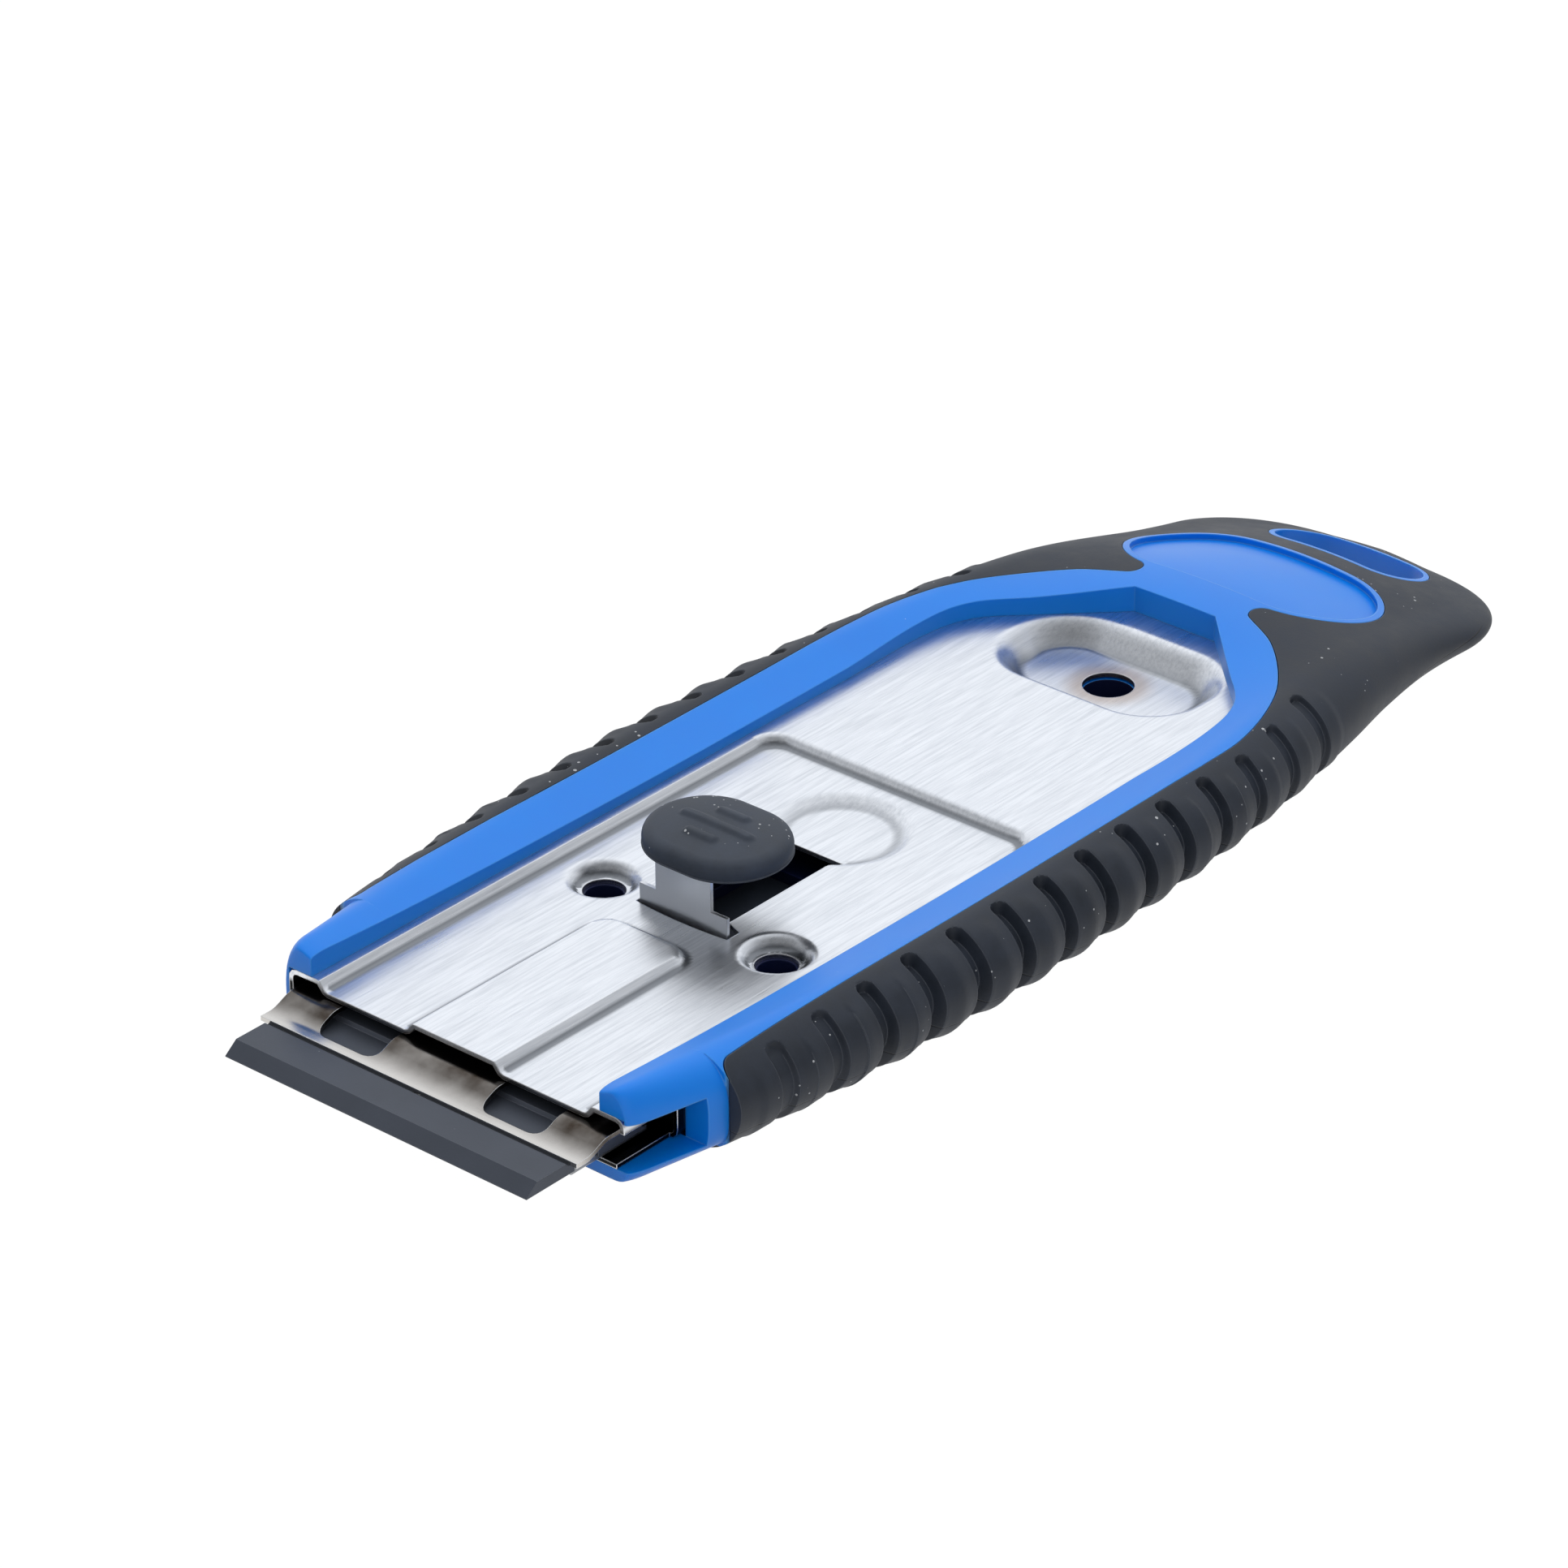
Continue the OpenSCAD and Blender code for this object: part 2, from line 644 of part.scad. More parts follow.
// Sunk face of the thumb pad, cut by a plane that follows the handle's fall
module pad_recess() {
    front = pad_y - pad_r;
    fall = middle_z(front) - middle_z(pad_y + pad_r);
    intersection() {
        prism(-rest_drop, grip_height) pad_outline(pad_rim);
        translate([0, front, middle_z(front) - pad_sink])
            rotate([-atan(fall / (2 * pad_r)), 0, 0])
                translate([-pad_half - pad_r, -pad_r, 0])
                    cube([2 * (pad_half + pad_r), 4 * pad_r, grip_height]);
    }
}

module hanging_hole() {
    prism(-rest_drop - over, grip_height)
        translate([0, slot_y]) obround(slot_r, slot_half);
}

module side_pocket() {
    prism(floor_z, -pocket_roof)
        translate([sheath_half - bend_r, -over])
            square([cheek_half, pocket_len + over]);
}

module handle_core() {
    places = concat([grip_front], [for (s = plain_shares) s * handle_len], tail_places);
    color("royalblue")
        difference() {
            union() {
                difference() {
                    union() {
                        intersection() {
                            loft([for (y = places) grip_section(y, false)]);
                            core_space(grip_height);
                        }
                        loft([for (s = [0:0.25:1]) nose_section(s * grip_front)]);
                    }
                    translate([-sheath_half, -over, floor_z])
                        cube([2 * sheath_half, channel_len + over, channel_drop]);
                    difference() {
                        prism(-well, 0) outline(window_edge(plate_lap), channel_len - over);
                        below_face(steel_t, over);
                    }
                    prism(-steel_t / 2, grip_height) outline(window_edge(0), -over);
                    side_pocket();
                    translate([-window_in, relief_y, core_z - over])
                        cube([2 * window_in, long_end - relief_y, channel_drop]);
                    pad_recess();
                    hanging_hole();
                }
                mirrored()
                    translate([cup_x, cup_y, core_z])
                        cylinder(h = -trough_depth - cup_depth - steel_t - core_z, r = boss_r);
            }
            mirrored()
                translate([cup_x, cup_y, core_z + boss_floor])
                    cylinder(h = channel_drop, r = boss_hole_r);
            translate([0, rear_cup_y, core_z + boss_floor])
                cylinder(h = channel_drop, r = rear_hole_r);
        }
}

module grip_overmould() {
    places = concat(grip_places, tail_places);
    color("#26262a")
        difference() {
            loft([for (y = places) grip_section(y, true)]);
            core_space(grip_height);
            hanging_hole();
        }
}

// Side section of the upper jaw: lip, rise and flat
module clamp_section() {
    rise_y = -lip_reach + lip_w;
    polygon([[-lip_reach, web_top], [rise_y, web_top], [-jaw_reach, jaw_foot], [arm_end, jaw_foot],
             [arm_end, jaw_top], [-jaw_reach, jaw_top], [rise_y, web_top + jaw_t],
             [-lip_reach, web_top + jaw_t]]);
}

module clamp_window() {
    front = -lip_reach + lip_w;
    wide_out = cup_x + cup_r + cup_gap;
    translate([window_in + window_r, front])
        square([window_out - window_in - 2 * window_r, arm_end]);
    translate([window_in, front + window_r])
        square([window_out - window_in, window_y - front - window_r + over]);
    for (x = [window_in + window_r, window_out - window_r])
        translate([x, front + window_r]) circle(window_r);
    translate([window_in, window_y])
        square([wide_out - window_in, arm_end]);
}

module rivet_holes(r) {
    mirrored()
        translate([rivet_x, rivet_y, carrier_foot])
            cylinder(h = well, r = r);
}

module blade_clamp() {
    color("silver")
        difference() {
            across_x(jaw_half) clamp_section();
            mirrored() prism(-well - over, 0) clamp_window();
            prism(-well - over, 0)
                translate([-window_in - over, strap_end])
                    square([2 * (window_in + over), arm_end]);
            rivet_holes(rivet_r);
        }
}

module stud_places() {
    mirrored()
        translate([blade_len / 2 - notch_depth + stud_gap + stud_r, blade_y, 0])
            children();
    translate([0, blade_y, 0])
        children();
}

module blade_studs() {
    color("darkgray")
        stud_places()
            translate([0, 0, carrier_foot])
                cylinder(h = web_top - carrier_foot, r = stud_r);
}

module blade_carrier() {
    front = -lip_reach + lip_w / 2;
    rear = blade_y + blade_w / 2 + lip_w / 2;
    climb = leaf_foot - blade_foot;
    color("darkgray")
        difference() {
            union() {
                across_x(carrier_half)
                    polygon([[front, carrier_foot], [rear, carrier_foot],
                             [rear, blade_foot], [front, blade_foot]]);
                across_x(leaf_half)
                    polygon([[rear - lip_w, carrier_foot], [rear, carrier_foot],
                             [rear + climb + jaw_t / 2, leaf_foot - jaw_t],
                             [strap_end, leaf_foot - jaw_t], [strap_end, leaf_foot],
                             [rear + climb, leaf_foot], [rear, blade_foot],
                             [rear - lip_w, blade_foot]]);
            }
            stud_places()
                translate([0, 0, carrier_foot - over])
                    cylinder(h = well, r = stud_r);
            rivet_holes(rivet_r);
        }
}

module blade_section() {
    half = blade_w / 2;
    strip = half - bevel_w;
    step = web_w / 2;
    land = blade_foot + edge_t;
    translate([blade_y, 0])
        polygon([[-half, blade_foot], [half, blade_foot], [half, land], [strip, blade_top],
                 [step, blade_top], [step - web_step, web_top], [web_step - step, web_top],
                 [-step, blade_top], [-strip, blade_top], [-half, land]]);
}

module blade() {
    high = blade_top + over;
    low = blade_foot - over;
    color("#33363a")
        difference() {
            across_x(blade_len / 2) blade_section();
            prism(low, high)
                translate([0, blade_y]) {
                    rotate(90) obround(notch_r, eye_len / 2 - notch_r);
                    mirrored() {
                        translate([blade_len / 2 - notch_depth + notch_r, 0]) circle(notch_r);
                        translate([blade_len / 2 - notch_depth + notch_r, -notch_r])
                            square([notch_depth, 2 * notch_r]);
                    }
                }
        }
}

module carriage_rivets() {
    color("gray")
        mirrored()
            translate([rivet_x, rivet_y, 0]) {
                translate([0, 0, leaf_foot - jaw_t])
                    cylinder(h = jaw_top - leaf_foot + jaw_t, r = rivet_r);
                translate([0, 0, leaf_foot - 2 * jaw_t])
                    cylinder(h = jaw_t, r = rivet_head_r);
            }
}

// Place and tilt of the button, about its front edge
module at_button() {
    translate([0, latch_y - button_lead, button_h])
        rotate([button_tilt, 0, 0])
            translate([0, button_r, 0])
                children();
}

// Tongue of the spring inside the button
module button_tongue() {
    intersection() {
        at_button()
            translate([-stem_half, -button_r, tongue_lift])
                cube([2 * stem_half, tongue_len, leaf_t]);
        prism(0, grip_height)
            translate([-stem_half, latch_y - leaf_t / 2])
                square([2 * stem_half, 2 * button_r]);
    }
    tongue_z = button_h + button_t / 2;
    across_x(stem_half)
        polygon([[latch_y - leaf_t / 2, button_h - over], [latch_y + leaf_t / 2, button_h - over],
                 [latch_y + leaf_t / 2, tongue_z], [latch_y - leaf_t / 2, tongue_z]]);
}

module latch_spring() {
    root = rivet_y - 2 * rivet_r;
    y0 = latch_y - leaf_t / 2;
    y1 = latch_y + leaf_t / 2;
    color("lightslategray")
        difference() {
            union() {
                across_x(leaf_half)
                    polygon([[root, leaf_foot], [y1, leaf_foot], [y1, jaw_foot], [root, jaw_foot]]);
                across_x(shoulder_half)
                    polygon([[y0, leaf_foot], [y1, leaf_foot], [y1, shoulder_h], [y0, shoulder_h]]);
                across_x(stem_half)
                    polygon([[y0, 0], [y1, 0], [y1, button_h], [y0, button_h]]);
                button_tongue();
            }
            rivet_holes(rivet_r);
        }
}

module button_body() {
    edge = [for (s = button_shares) [button_r - s[0] * button_t, s[1] * button_t]];
    hull()
        mirrored()
            translate([button_half, 0, 0])
                rotate_extrude($fn = 40)
                    polygon(concat([[0, 0]], edge, [[0, button_t]]));
}

module ridge(y, half) {
    translate([0, y, button_t])
        hull()
            mirrored()
                translate([half, 0, 0])
                    sphere(r = ridge_r, $fn = 18);
}

module latch_button() {
    color("#3a3b3e")
        difference() {
            at_button()
                union() {
                    button_body();
                    ridge(0, ridge_long);
                    ridge(-ridge_gap, ridge_short);
                    ridge(ridge_gap, ridge_short);
                }
            button_tongue();
        }
}

// Shift from the handle's own zero to the rest plane's origin
module place() {
    translate([0, -mid_y, rest_drop]) children();
}

place() handle_core();
place() grip_overmould();
place() sheath_cover();
place() blade_carrier();
place() blade_clamp();
place() blade_studs();
place() blade();
place() carriage_rivets();
place() latch_spring();
place() latch_button();
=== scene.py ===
"""Looks of the razor blade scraper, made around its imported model.

Sizes are millimetres in the handle's own zero: x = 0 on the middle plane, y = 0 at the
handle's front face and z = 0 on the sheath's face. Bench.place turns them into metres in
the row's frame, and nothing else does.
"""
import logging
import math
from dataclasses import dataclass
from enum import Enum
from typing import Callable, Sequence, Union

import bpy
import numpy as np
from mathutils import Matrix, Vector


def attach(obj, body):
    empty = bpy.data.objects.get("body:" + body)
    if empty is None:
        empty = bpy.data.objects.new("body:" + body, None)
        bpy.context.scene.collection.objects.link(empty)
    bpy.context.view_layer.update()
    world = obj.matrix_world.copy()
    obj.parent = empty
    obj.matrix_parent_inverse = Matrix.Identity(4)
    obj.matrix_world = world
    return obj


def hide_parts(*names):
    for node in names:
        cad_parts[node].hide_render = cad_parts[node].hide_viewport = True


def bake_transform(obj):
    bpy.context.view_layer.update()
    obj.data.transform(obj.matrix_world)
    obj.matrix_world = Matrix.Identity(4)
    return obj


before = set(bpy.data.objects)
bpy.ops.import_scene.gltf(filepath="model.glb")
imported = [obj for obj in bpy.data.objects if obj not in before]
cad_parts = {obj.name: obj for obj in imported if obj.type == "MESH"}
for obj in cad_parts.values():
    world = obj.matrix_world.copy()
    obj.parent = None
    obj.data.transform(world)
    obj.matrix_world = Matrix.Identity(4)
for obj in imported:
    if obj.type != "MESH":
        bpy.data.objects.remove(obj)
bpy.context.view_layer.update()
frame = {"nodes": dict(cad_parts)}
log = logging.getLogger("scraper")

MM = 0.001
Height = Union[float, Callable[[float, float], float]]
Point = tuple[float, float]
Table = tuple[Point, ...]


def linear(code: str) -> tuple[float, float, float, float]:
    """Turns a hex sRGB colour into linear values.

    Args:
        code: The colour, as in "#0A62CC".

    Returns:
        Red, green, blue and an alpha of 1, all linear.
    """
    parts = [int(code[i:i + 2], 16) / 255 for i in (1, 3, 5)]
    turned = [p / 12.92 if p <= 0.04045 else ((p + 0.055) / 1.055) ** 2.4 for p in parts]
    return (turned[0], turned[1], turned[2], 1.0)


def per_mm(size: float) -> float:
    """Texture scale, in repeats per metre, of a detail that is so many millimetres across."""
    return 1 / (size * MM)


def add_node(tree: bpy.types.NodeTree, kind: str, inputs: dict | None = None,
             **settings: object) -> bpy.types.Node:
    """Adds one node with its settings, values and links.

    Args:
        tree: The node tree that takes the node.
        kind: The node's type name.
        inputs: Values or source sockets, by the input's name or number.
        **settings: The node's own properties.

    Returns:
        The new node.
    """
    made = tree.nodes.new(kind)
    for name, value in settings.items():
        setattr(made, name, value)
    for name, value in (inputs or {}).items():
        if isinstance(value, bpy.types.NodeSocket):
            tree.links.new(value, made.inputs[name])
        else:
            made.inputs[name].default_value = value
    return made


def smooth_at(table: Table, places: np.ndarray) -> np.ndarray:
    """Smooth values of a table of pairs, by the same cubic as in the part's source.

    Args:
        table: Pairs of place and value, in order.
        places: Where the values are wanted.

    Returns:
        One value for each place.
    """
    at, value = (np.array(column, float) for column in zip(*table))
    ends = np.arange(len(at))
    after, before = np.minimum(ends + 1, len(at) - 1), np.maximum(ends - 1, 0)
    slope = (value[after] - value[before]) / (at[after] - at[before])
    i = np.clip(np.searchsorted(at, places, side="right") - 1, 0, len(at) - 2)
    h = at[i + 1] - at[i]
    u = (places - at[i]) / h
    return ((2 * u**3 - 3 * u**2 + 1) * value[i] + (u**3 - 2 * u**2 + u) * h * slope[i]
            + (3 * u**2 - 2 * u**3) * value[i + 1] + (u**3 - u**2) * h * slope[i + 1])


def soft_step(low: float, high: float, x: np.ndarray) -> np.ndarray:
    """Rises smoothly from 0 at low to 1 at high."""
    t = np.clip((x - low) / (high - low), 0, 1)
    return t * t * (3 - 2 * t)


class Join(Enum):
    """How one solid acts on another."""

    CUT = "DIFFERENCE"
    ADD = "UNION"
    KEEP = "INTERSECT"


class Bench:
    """The modelling steps, each done with Blender's own operators on one object."""

    mid_y = 67.35  # from the handle's front face to the row's origin, in millimetres
    rest_drop = 7.7  # from the sheath's face down to the rest plane, in millimetres
    seam_gap = 2e-6  # metres between points that a loft's seam joins
    weld_gap = 1e-6  # metres between a CAD mesh's loose corners
    flat_angle = 0.5  # degrees below which two faces count as one

    @classmethod
    def place(cls, points: np.ndarray) -> np.ndarray:
        """Turns points in the handle's millimetres into the row's metres."""
        return (np.asarray(points, float) + (0, -cls.mid_y, cls.rest_drop)) * MM

    @staticmethod
    def only(piece: bpy.types.Object) -> None:
        """Selects this object alone and makes it the active one."""
        bpy.ops.object.select_all(action="DESELECT")
        piece.select_set(True)
        bpy.context.view_layer.objects.active = piece

    @classmethod
    def edit(cls, piece: bpy.types.Object, *steps: Callable[[], object]) -> None:
        """Runs edit-mode steps on all of an object's faces.

        Args:
            piece: The object.
            *steps: Calls without arguments, run in order in edit mode.
        """
        cls.only(piece)
        bpy.ops.object.mode_set(mode="EDIT")
        bpy.ops.mesh.select_all(action="SELECT")
        for step in steps:
            step()
        bpy.ops.object.mode_set(mode="OBJECT")

    @classmethod
    def drop_faces(cls, piece: bpy.types.Object, gone: Sequence[bool]) -> None:
        """Deletes some of an object's faces.

        Args:
            piece: The object.
            gone: For each face, whether it goes.
        """
        cls.only(piece)
        mesh = piece.data
        for part in (mesh.vertices, mesh.edges):
            part.foreach_set("select", [False] * len(part))
        mesh.polygons.foreach_set("select", list(gone))
        bpy.context.tool_settings.mesh_select_mode = (False, False, True)
        bpy.ops.object.mode_set(mode="EDIT")
        bpy.ops.mesh.delete(type="FACE")
        bpy.ops.object.mode_set(mode="OBJECT")
        bpy.context.tool_settings.mesh_select_mode = (True, False, False)

    @classmethod
    def sheet(cls, name: str, rows: np.ndarray) -> bpy.types.Object:
        """Adds a grid and lays it over rows of points.

        Args:
            name: The object's name.
            rows: Points in millimetres, as rows by columns by three.

        Returns:
            The object, in place.
        """
        down, across = rows.shape[0] - 1, rows.shape[1] - 1
        bpy.ops.object.select_all(action="DESELECT")
        bpy.ops.mesh.primitive_grid_add(x_subdivisions=across, y_subdivisions=down, size=1)
        piece = bpy.context.object
        piece.name = name
        flat = np.empty(len(piece.data.vertices) * 3)
        piece.data.vertices.foreach_get("co", flat)
        flat = flat.reshape(-1, 3)
        i = np.rint((flat[:, 0] + 0.5) * across).astype(int)
        j = np.rint((flat[:, 1] + 0.5) * down).astype(int)
        piece.data.vertices.foreach_set("co", cls.place(rows[j, i]).ravel())
        piece.data.update()
        return piece

    @classmethod
    def loft(cls, name: str, rows: np.ndarray) -> bpy.types.Object:
        """Lays a grid over closed sections, joins its seam and closes its ends.

        Args:
            name: The object's name.
            rows: Sections in millimetres; the first and last point of each are one.

        Returns:
            The closed solid.
        """
        piece = cls.sheet(name, rows)
        cls.edit(piece,
                 lambda: bpy.ops.mesh.remove_doubles(threshold=cls.seam_gap),
                 lambda: bpy.ops.mesh.fill_holes(sides=0),
                 lambda: bpy.ops.mesh.select_all(action="SELECT"),
                 lambda: bpy.ops.mesh.normals_make_consistent(inside=False))
        return piece

    @classmethod
    def block(cls, name: str, outline: Sequence[Point], low: Height,
              high: Height) -> bpy.types.Object:
        """Draws a flat outline and extrudes it upwards into a solid.

        Args:
            name: The object's name.
            outline: Corners in X and Y.
            low: Height of the lower face, or a function of x and y.
            high: Height of the upper face, or a function of x and y.

        Returns:
            The solid.
        """
        count = len(outline)
        bpy.ops.object.select_all(action="DESELECT")
        bpy.ops.mesh.primitive_circle_add(vertices=count, radius=1, fill_type="NGON")
        piece = bpy.context.object
        piece.name = name
        cls.edit(piece, lambda: bpy.ops.mesh.extrude_region_move(
            TRANSFORM_OT_translate={"value": (0, 0, 1)}))
        points = np.empty((2 * count, 3))
        for i in range(2 * count):
            x, y = outline[i % count]
            level = low if i < count else high
            points[i] = (x, y, level(x, y) if callable(level) else level)
        piece.data.vertices.foreach_set("co", cls.place(points).ravel())
        piece.data.update()
        cls.edit(piece, lambda: bpy.ops.mesh.normals_make_consistent(inside=False))
        return piece

    @classmethod
    def apply(cls, piece: bpy.types.Object) -> None:
        """Applies all of an object's modifiers."""
        cls.only(piece)
        for modifier in list(piece.modifiers):
            bpy.ops.object.modifier_apply(modifier=modifier.name)

    @classmethod
    def combine(cls, piece: bpy.types.Object, how: Join, *others: bpy.types.Object) -> None:
        """Joins, cuts or trims a solid with others, which are used up.

        Args:
            piece: The solid that stays.
            how: What the others do to it.
            *others: The solids that act on it, in order.
        """
        for other in others:
            modifier = piece.modifiers.new(how.name, "BOOLEAN")
            modifier.operation = how.value
            modifier.solver = "EXACT"
            modifier.object = other
            cls.apply(piece)
            bpy.data.objects.remove(other)

    @classmethod
    def copy_of(cls, node: str, name: str) -> bpy.types.Object:
        """Copies a CAD node's mesh into a new object and merges its loose triangles.

        Args:
            node: The node's name.
            name: The new object's name.

        Returns:
            The new object.
        """
        piece = bpy.data.objects.new(name, frame["nodes"][node].data.copy())
        bpy.context.scene.collection.objects.link(piece)
        cls.edit(piece,
                 lambda: bpy.ops.mesh.remove_doubles(threshold=cls.weld_gap),
                 lambda: bpy.ops.mesh.dissolve_limited(
                     angle_limit=math.radians(cls.flat_angle)))
        return piece

    @classmethod
    def dress(cls, piece: bpy.types.Object, finish: "Finish", angle: float = 32) -> None:
        """Shades a piece smooth and gives it its finish.

        Args:
            piece: The object.
            finish: Its finish.
            angle: Degrees between two faces above which their edge stays sharp.
        """
        cls.only(piece)
        bpy.ops.object.shade_smooth_by_angle(angle=math.radians(angle))
        piece.data.materials.clear()
        piece.data.materials.append(finish.material())

    @staticmethod
    def centres(piece: bpy.types.Object) -> np.ndarray:
        """Finds the middles of a piece's faces.

        Args:
            piece: The object.

        Returns:
            One point for each face, in the handle's millimetres.
        """
        flat = np.empty(len(piece.data.polygons) * 3)
        piece.data.polygons.foreach_get("center", flat)
        return flat.reshape(-1, 3) / MM + (0, Bench.mid_y, -Bench.rest_drop)

    @classmethod
    def line(cls, piece: bpy.types.Object, finish: "Finish", chosen: np.ndarray) -> None:
        """Gives the chosen faces of a dressed piece a second finish."""
        piece.data.materials.append(finish.material())
        piece.data.polygons.foreach_set("material_index", chosen.astype(int))

    @classmethod
    def settle(cls, piece: bpy.types.Object, body: str, slot: str, *nodes: str) -> None:
        """Puts a finished piece on its body.

        Args:
            piece: The object.
            body: The body that it moves with.
            slot: Not used.
            *nodes: The CAD nodes that it replaces.
        """
        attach(piece, body)
        if nodes:
            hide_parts(*nodes)
        log.info("%s: %d faces on %s", piece.name, len(piece.data.polygons), body)


@dataclass(frozen=True)
class Skin:
    """What every finish starts from: coordinates, rounded edges and where edges are."""

    coords: bpy.types.NodeSocket
    normal: bpy.types.NodeSocket
    edges: bpy.types.NodeSocket


class Finish:
    """Start of every finish: object coordinates, rounded edges, wear and painted highlight, and
    dust.
    """

    label = "finish"
    edge_mm = 0.25
    edge_cosines = (0.995, 0.93)  # between the two normals, where an edge starts and is full
    rub_and_highlight = "#FFFFFF"  # what shows on the edges: wear, lit by a painted highlight
    rub_and_highlight_share = 0.0
    lint = "#FFFFFF"
    specks = (1.0, 0.0)
    depth = 0.5
    relief_mm = 0.01

    def __init__(self) -> None:
        """Starts with no material; the first call of material makes it."""
        self._made: bpy.types.Material | None = None

    def material(self) -> bpy.types.Material:
        """Returns the finish's one material, making it the first time."""
        if self._made is None:
            self._made = bpy.data.materials.new(self.label)
            self._made.use_nodes = True
            tree = self._made.node_tree
            tree.nodes.clear()
            surface = self.surface(tree, self.skin(tree))
            add_node(tree, "ShaderNodeOutputMaterial", {"Surface": surface})
        return self._made

    def skin(self, tree: bpy.types.NodeTree) -> Skin:
        """Rounds the edges and finds them.

        Args:
            tree: The material's node tree.

        Returns:
            Coordinates, the rounded normal, and the edges as a share from 0 to 1.
        """
        coords = add_node(tree, "ShaderNodeTexCoord").outputs["Object"]
        soft = add_node(tree, "ShaderNodeBevel", {"Radius": self.edge_mm * MM}, samples=6)
        true = add_node(tree, "ShaderNodeNewGeometry").outputs["Normal"]
        same = add_node(tree, "ShaderNodeVectorMath", {0: soft.outputs["Normal"], 1: true},
                        operation="DOT_PRODUCT")
        start, full = self.edge_cosines
        edges = self.span(tree, same.outputs["Value"], (start, 0), (full, 1))
        return Skin(coords, soft.outputs["Normal"], edges)

    def surface(self, tree: bpy.types.NodeTree, skin: Skin) -> bpy.types.NodeSocket:
        """Builds the finish's own nodes.

        Args:
            tree: The material's node tree.
            skin: Coordinates, the rounded normal and the edges.

        Returns:
            The shader's output socket.
        """
        raise NotImplementedError

    @staticmethod
    def noise(tree: bpy.types.NodeTree, where: bpy.types.NodeSocket, size: float,
              detail: float = 3.0, roughness: float = 0.5) -> bpy.types.NodeSocket:
        """Adds cloudy noise whose patches are so many millimetres across."""
        return add_node(tree, "ShaderNodeTexNoise",
                        {"Vector": where, "Scale": per_mm(size), "Detail": detail,
                         "Roughness": roughness}).outputs["Fac"]

    @staticmethod
    def mix(tree: bpy.types.NodeTree, share: bpy.types.NodeSocket, first: object,
            second: object) -> bpy.types.NodeSocket:
        """Mixes two colours by a share."""
        return add_node(tree, "ShaderNodeMix", {"Factor": share, "A": first, "B": second},
                        data_type="RGBA").outputs["Result"]

    @staticmethod
    def span(tree: bpy.types.NodeTree, value: bpy.types.NodeSocket,
             low: tuple[float, float], high: tuple[float, float]) -> bpy.types.NodeSocket:
        """Maps the range between two input values to two output values, and holds the ends."""
        return add_node(tree, "ShaderNodeMapRange",
                        {"Value": value, "From Min": low[0], "To Min": low[1],
                         "From Max": high[0], "To Max": high[1]}).outputs["Result"]

    @staticmethod
    def times(tree: bpy.types.NodeTree, first: bpy.types.NodeSocket,
              second: object) -> bpy.types.NodeSocket:
        """Multiplies two values."""
        return add_node(tree, "ShaderNodeMath", {0: first, 1: second},
                        operation="MULTIPLY").outputs[0]

    def rubbed_and_highlit(self, tree: bpy.types.NodeTree, skin: Skin, body: object) -> bpy.types.NodeSocket:
        """Lets the rubbed colour, partly a painted highlight, show on the edges.

        Args:
            tree: The material's node tree.
            skin: Coordinates, the rounded normal and the edges.
            body: The colour beneath, or its socket.

        Returns:
            The colour's socket.
        """
        share = self.times(tree, skin.edges, self.rub_and_highlight_share)
        return self.mix(tree, share, body, linear(self.rub_and_highlight))

    def dusty(self, tree: bpy.types.NodeTree, skin: Skin, body: object) -> bpy.types.NodeSocket:
        """Scatters specks of pale lint in clusters.

        Args:
            tree: The material's node tree.
            skin: Coordinates, the rounded normal and the edges.
            body: The colour beneath, or its socket.

        Returns:
            The colour's socket.
        """
        apart, largest = self.specks
        speck = add_node(tree, "ShaderNodeTexVoronoi",
                         {"Vector": skin.coords, "Scale": per_mm(apart)})
        # Clusters about six specks wide, with bare skin between them
        cluster = self.noise(tree, skin.coords, 6 * apart, 2.0)
        size = self.span(tree, cluster, (0.48, 0.0), (0.75, largest))
        shown = add_node(tree, "ShaderNodeMath", {0: speck.outputs["Distance"], 1: size},
                         operation="LESS_THAN")
        return self.mix(tree, shown.outputs[0], body, linear(self.lint))

    def coat(self, tree: bpy.types.NodeTree, skin: Skin, height: bpy.types.NodeSocket,
             inputs: dict) -> bpy.types.NodeSocket:
        """Closes a finish with its fine relief and its shader.

        Args:
            tree: The material's node tree.
            skin: Coordinates, the rounded normal and the edges.
            height: The relief's socket.
            inputs: The shader's inputs, but for its normal.

        Returns:
            The shader's output socket.
        """
        bump = add_node(tree, "ShaderNodeBump",
                        {"Height": height, "Strength": self.depth,
                         "Distance": self.relief_mm * MM, "Normal": skin.normal})
        return add_node(tree, "ShaderNodeBsdfPrincipled",
                        {**inputs, "Normal": bump.outputs["Normal"]}).outputs["BSDF"]

    @staticmethod
    def band(tree: bpy.types.NodeTree, skin: Skin, axis: str,
             ends: tuple[float, float]) -> bpy.types.NodeSocket:
        """Rises from 0 to 1 between two places along an axis.

        Args:
            tree: The material's node tree.
            skin: Coordinates, the rounded normal and the edges.
            axis: Y or Z.
            ends: The handle's coordinates where it starts and is full, in millimetres.

        Returns:
            The share's socket.
        """
        shift = {"Y": -Bench.mid_y, "Z": Bench.rest_drop}[axis]
        start, full = ((end + shift) * MM for end in ends)
        along = add_node(tree, "ShaderNodeSeparateXYZ", {"Vector": skin.coords})
        return Finish.span(tree, along.outputs[axis], (start, 0), (full, 1))


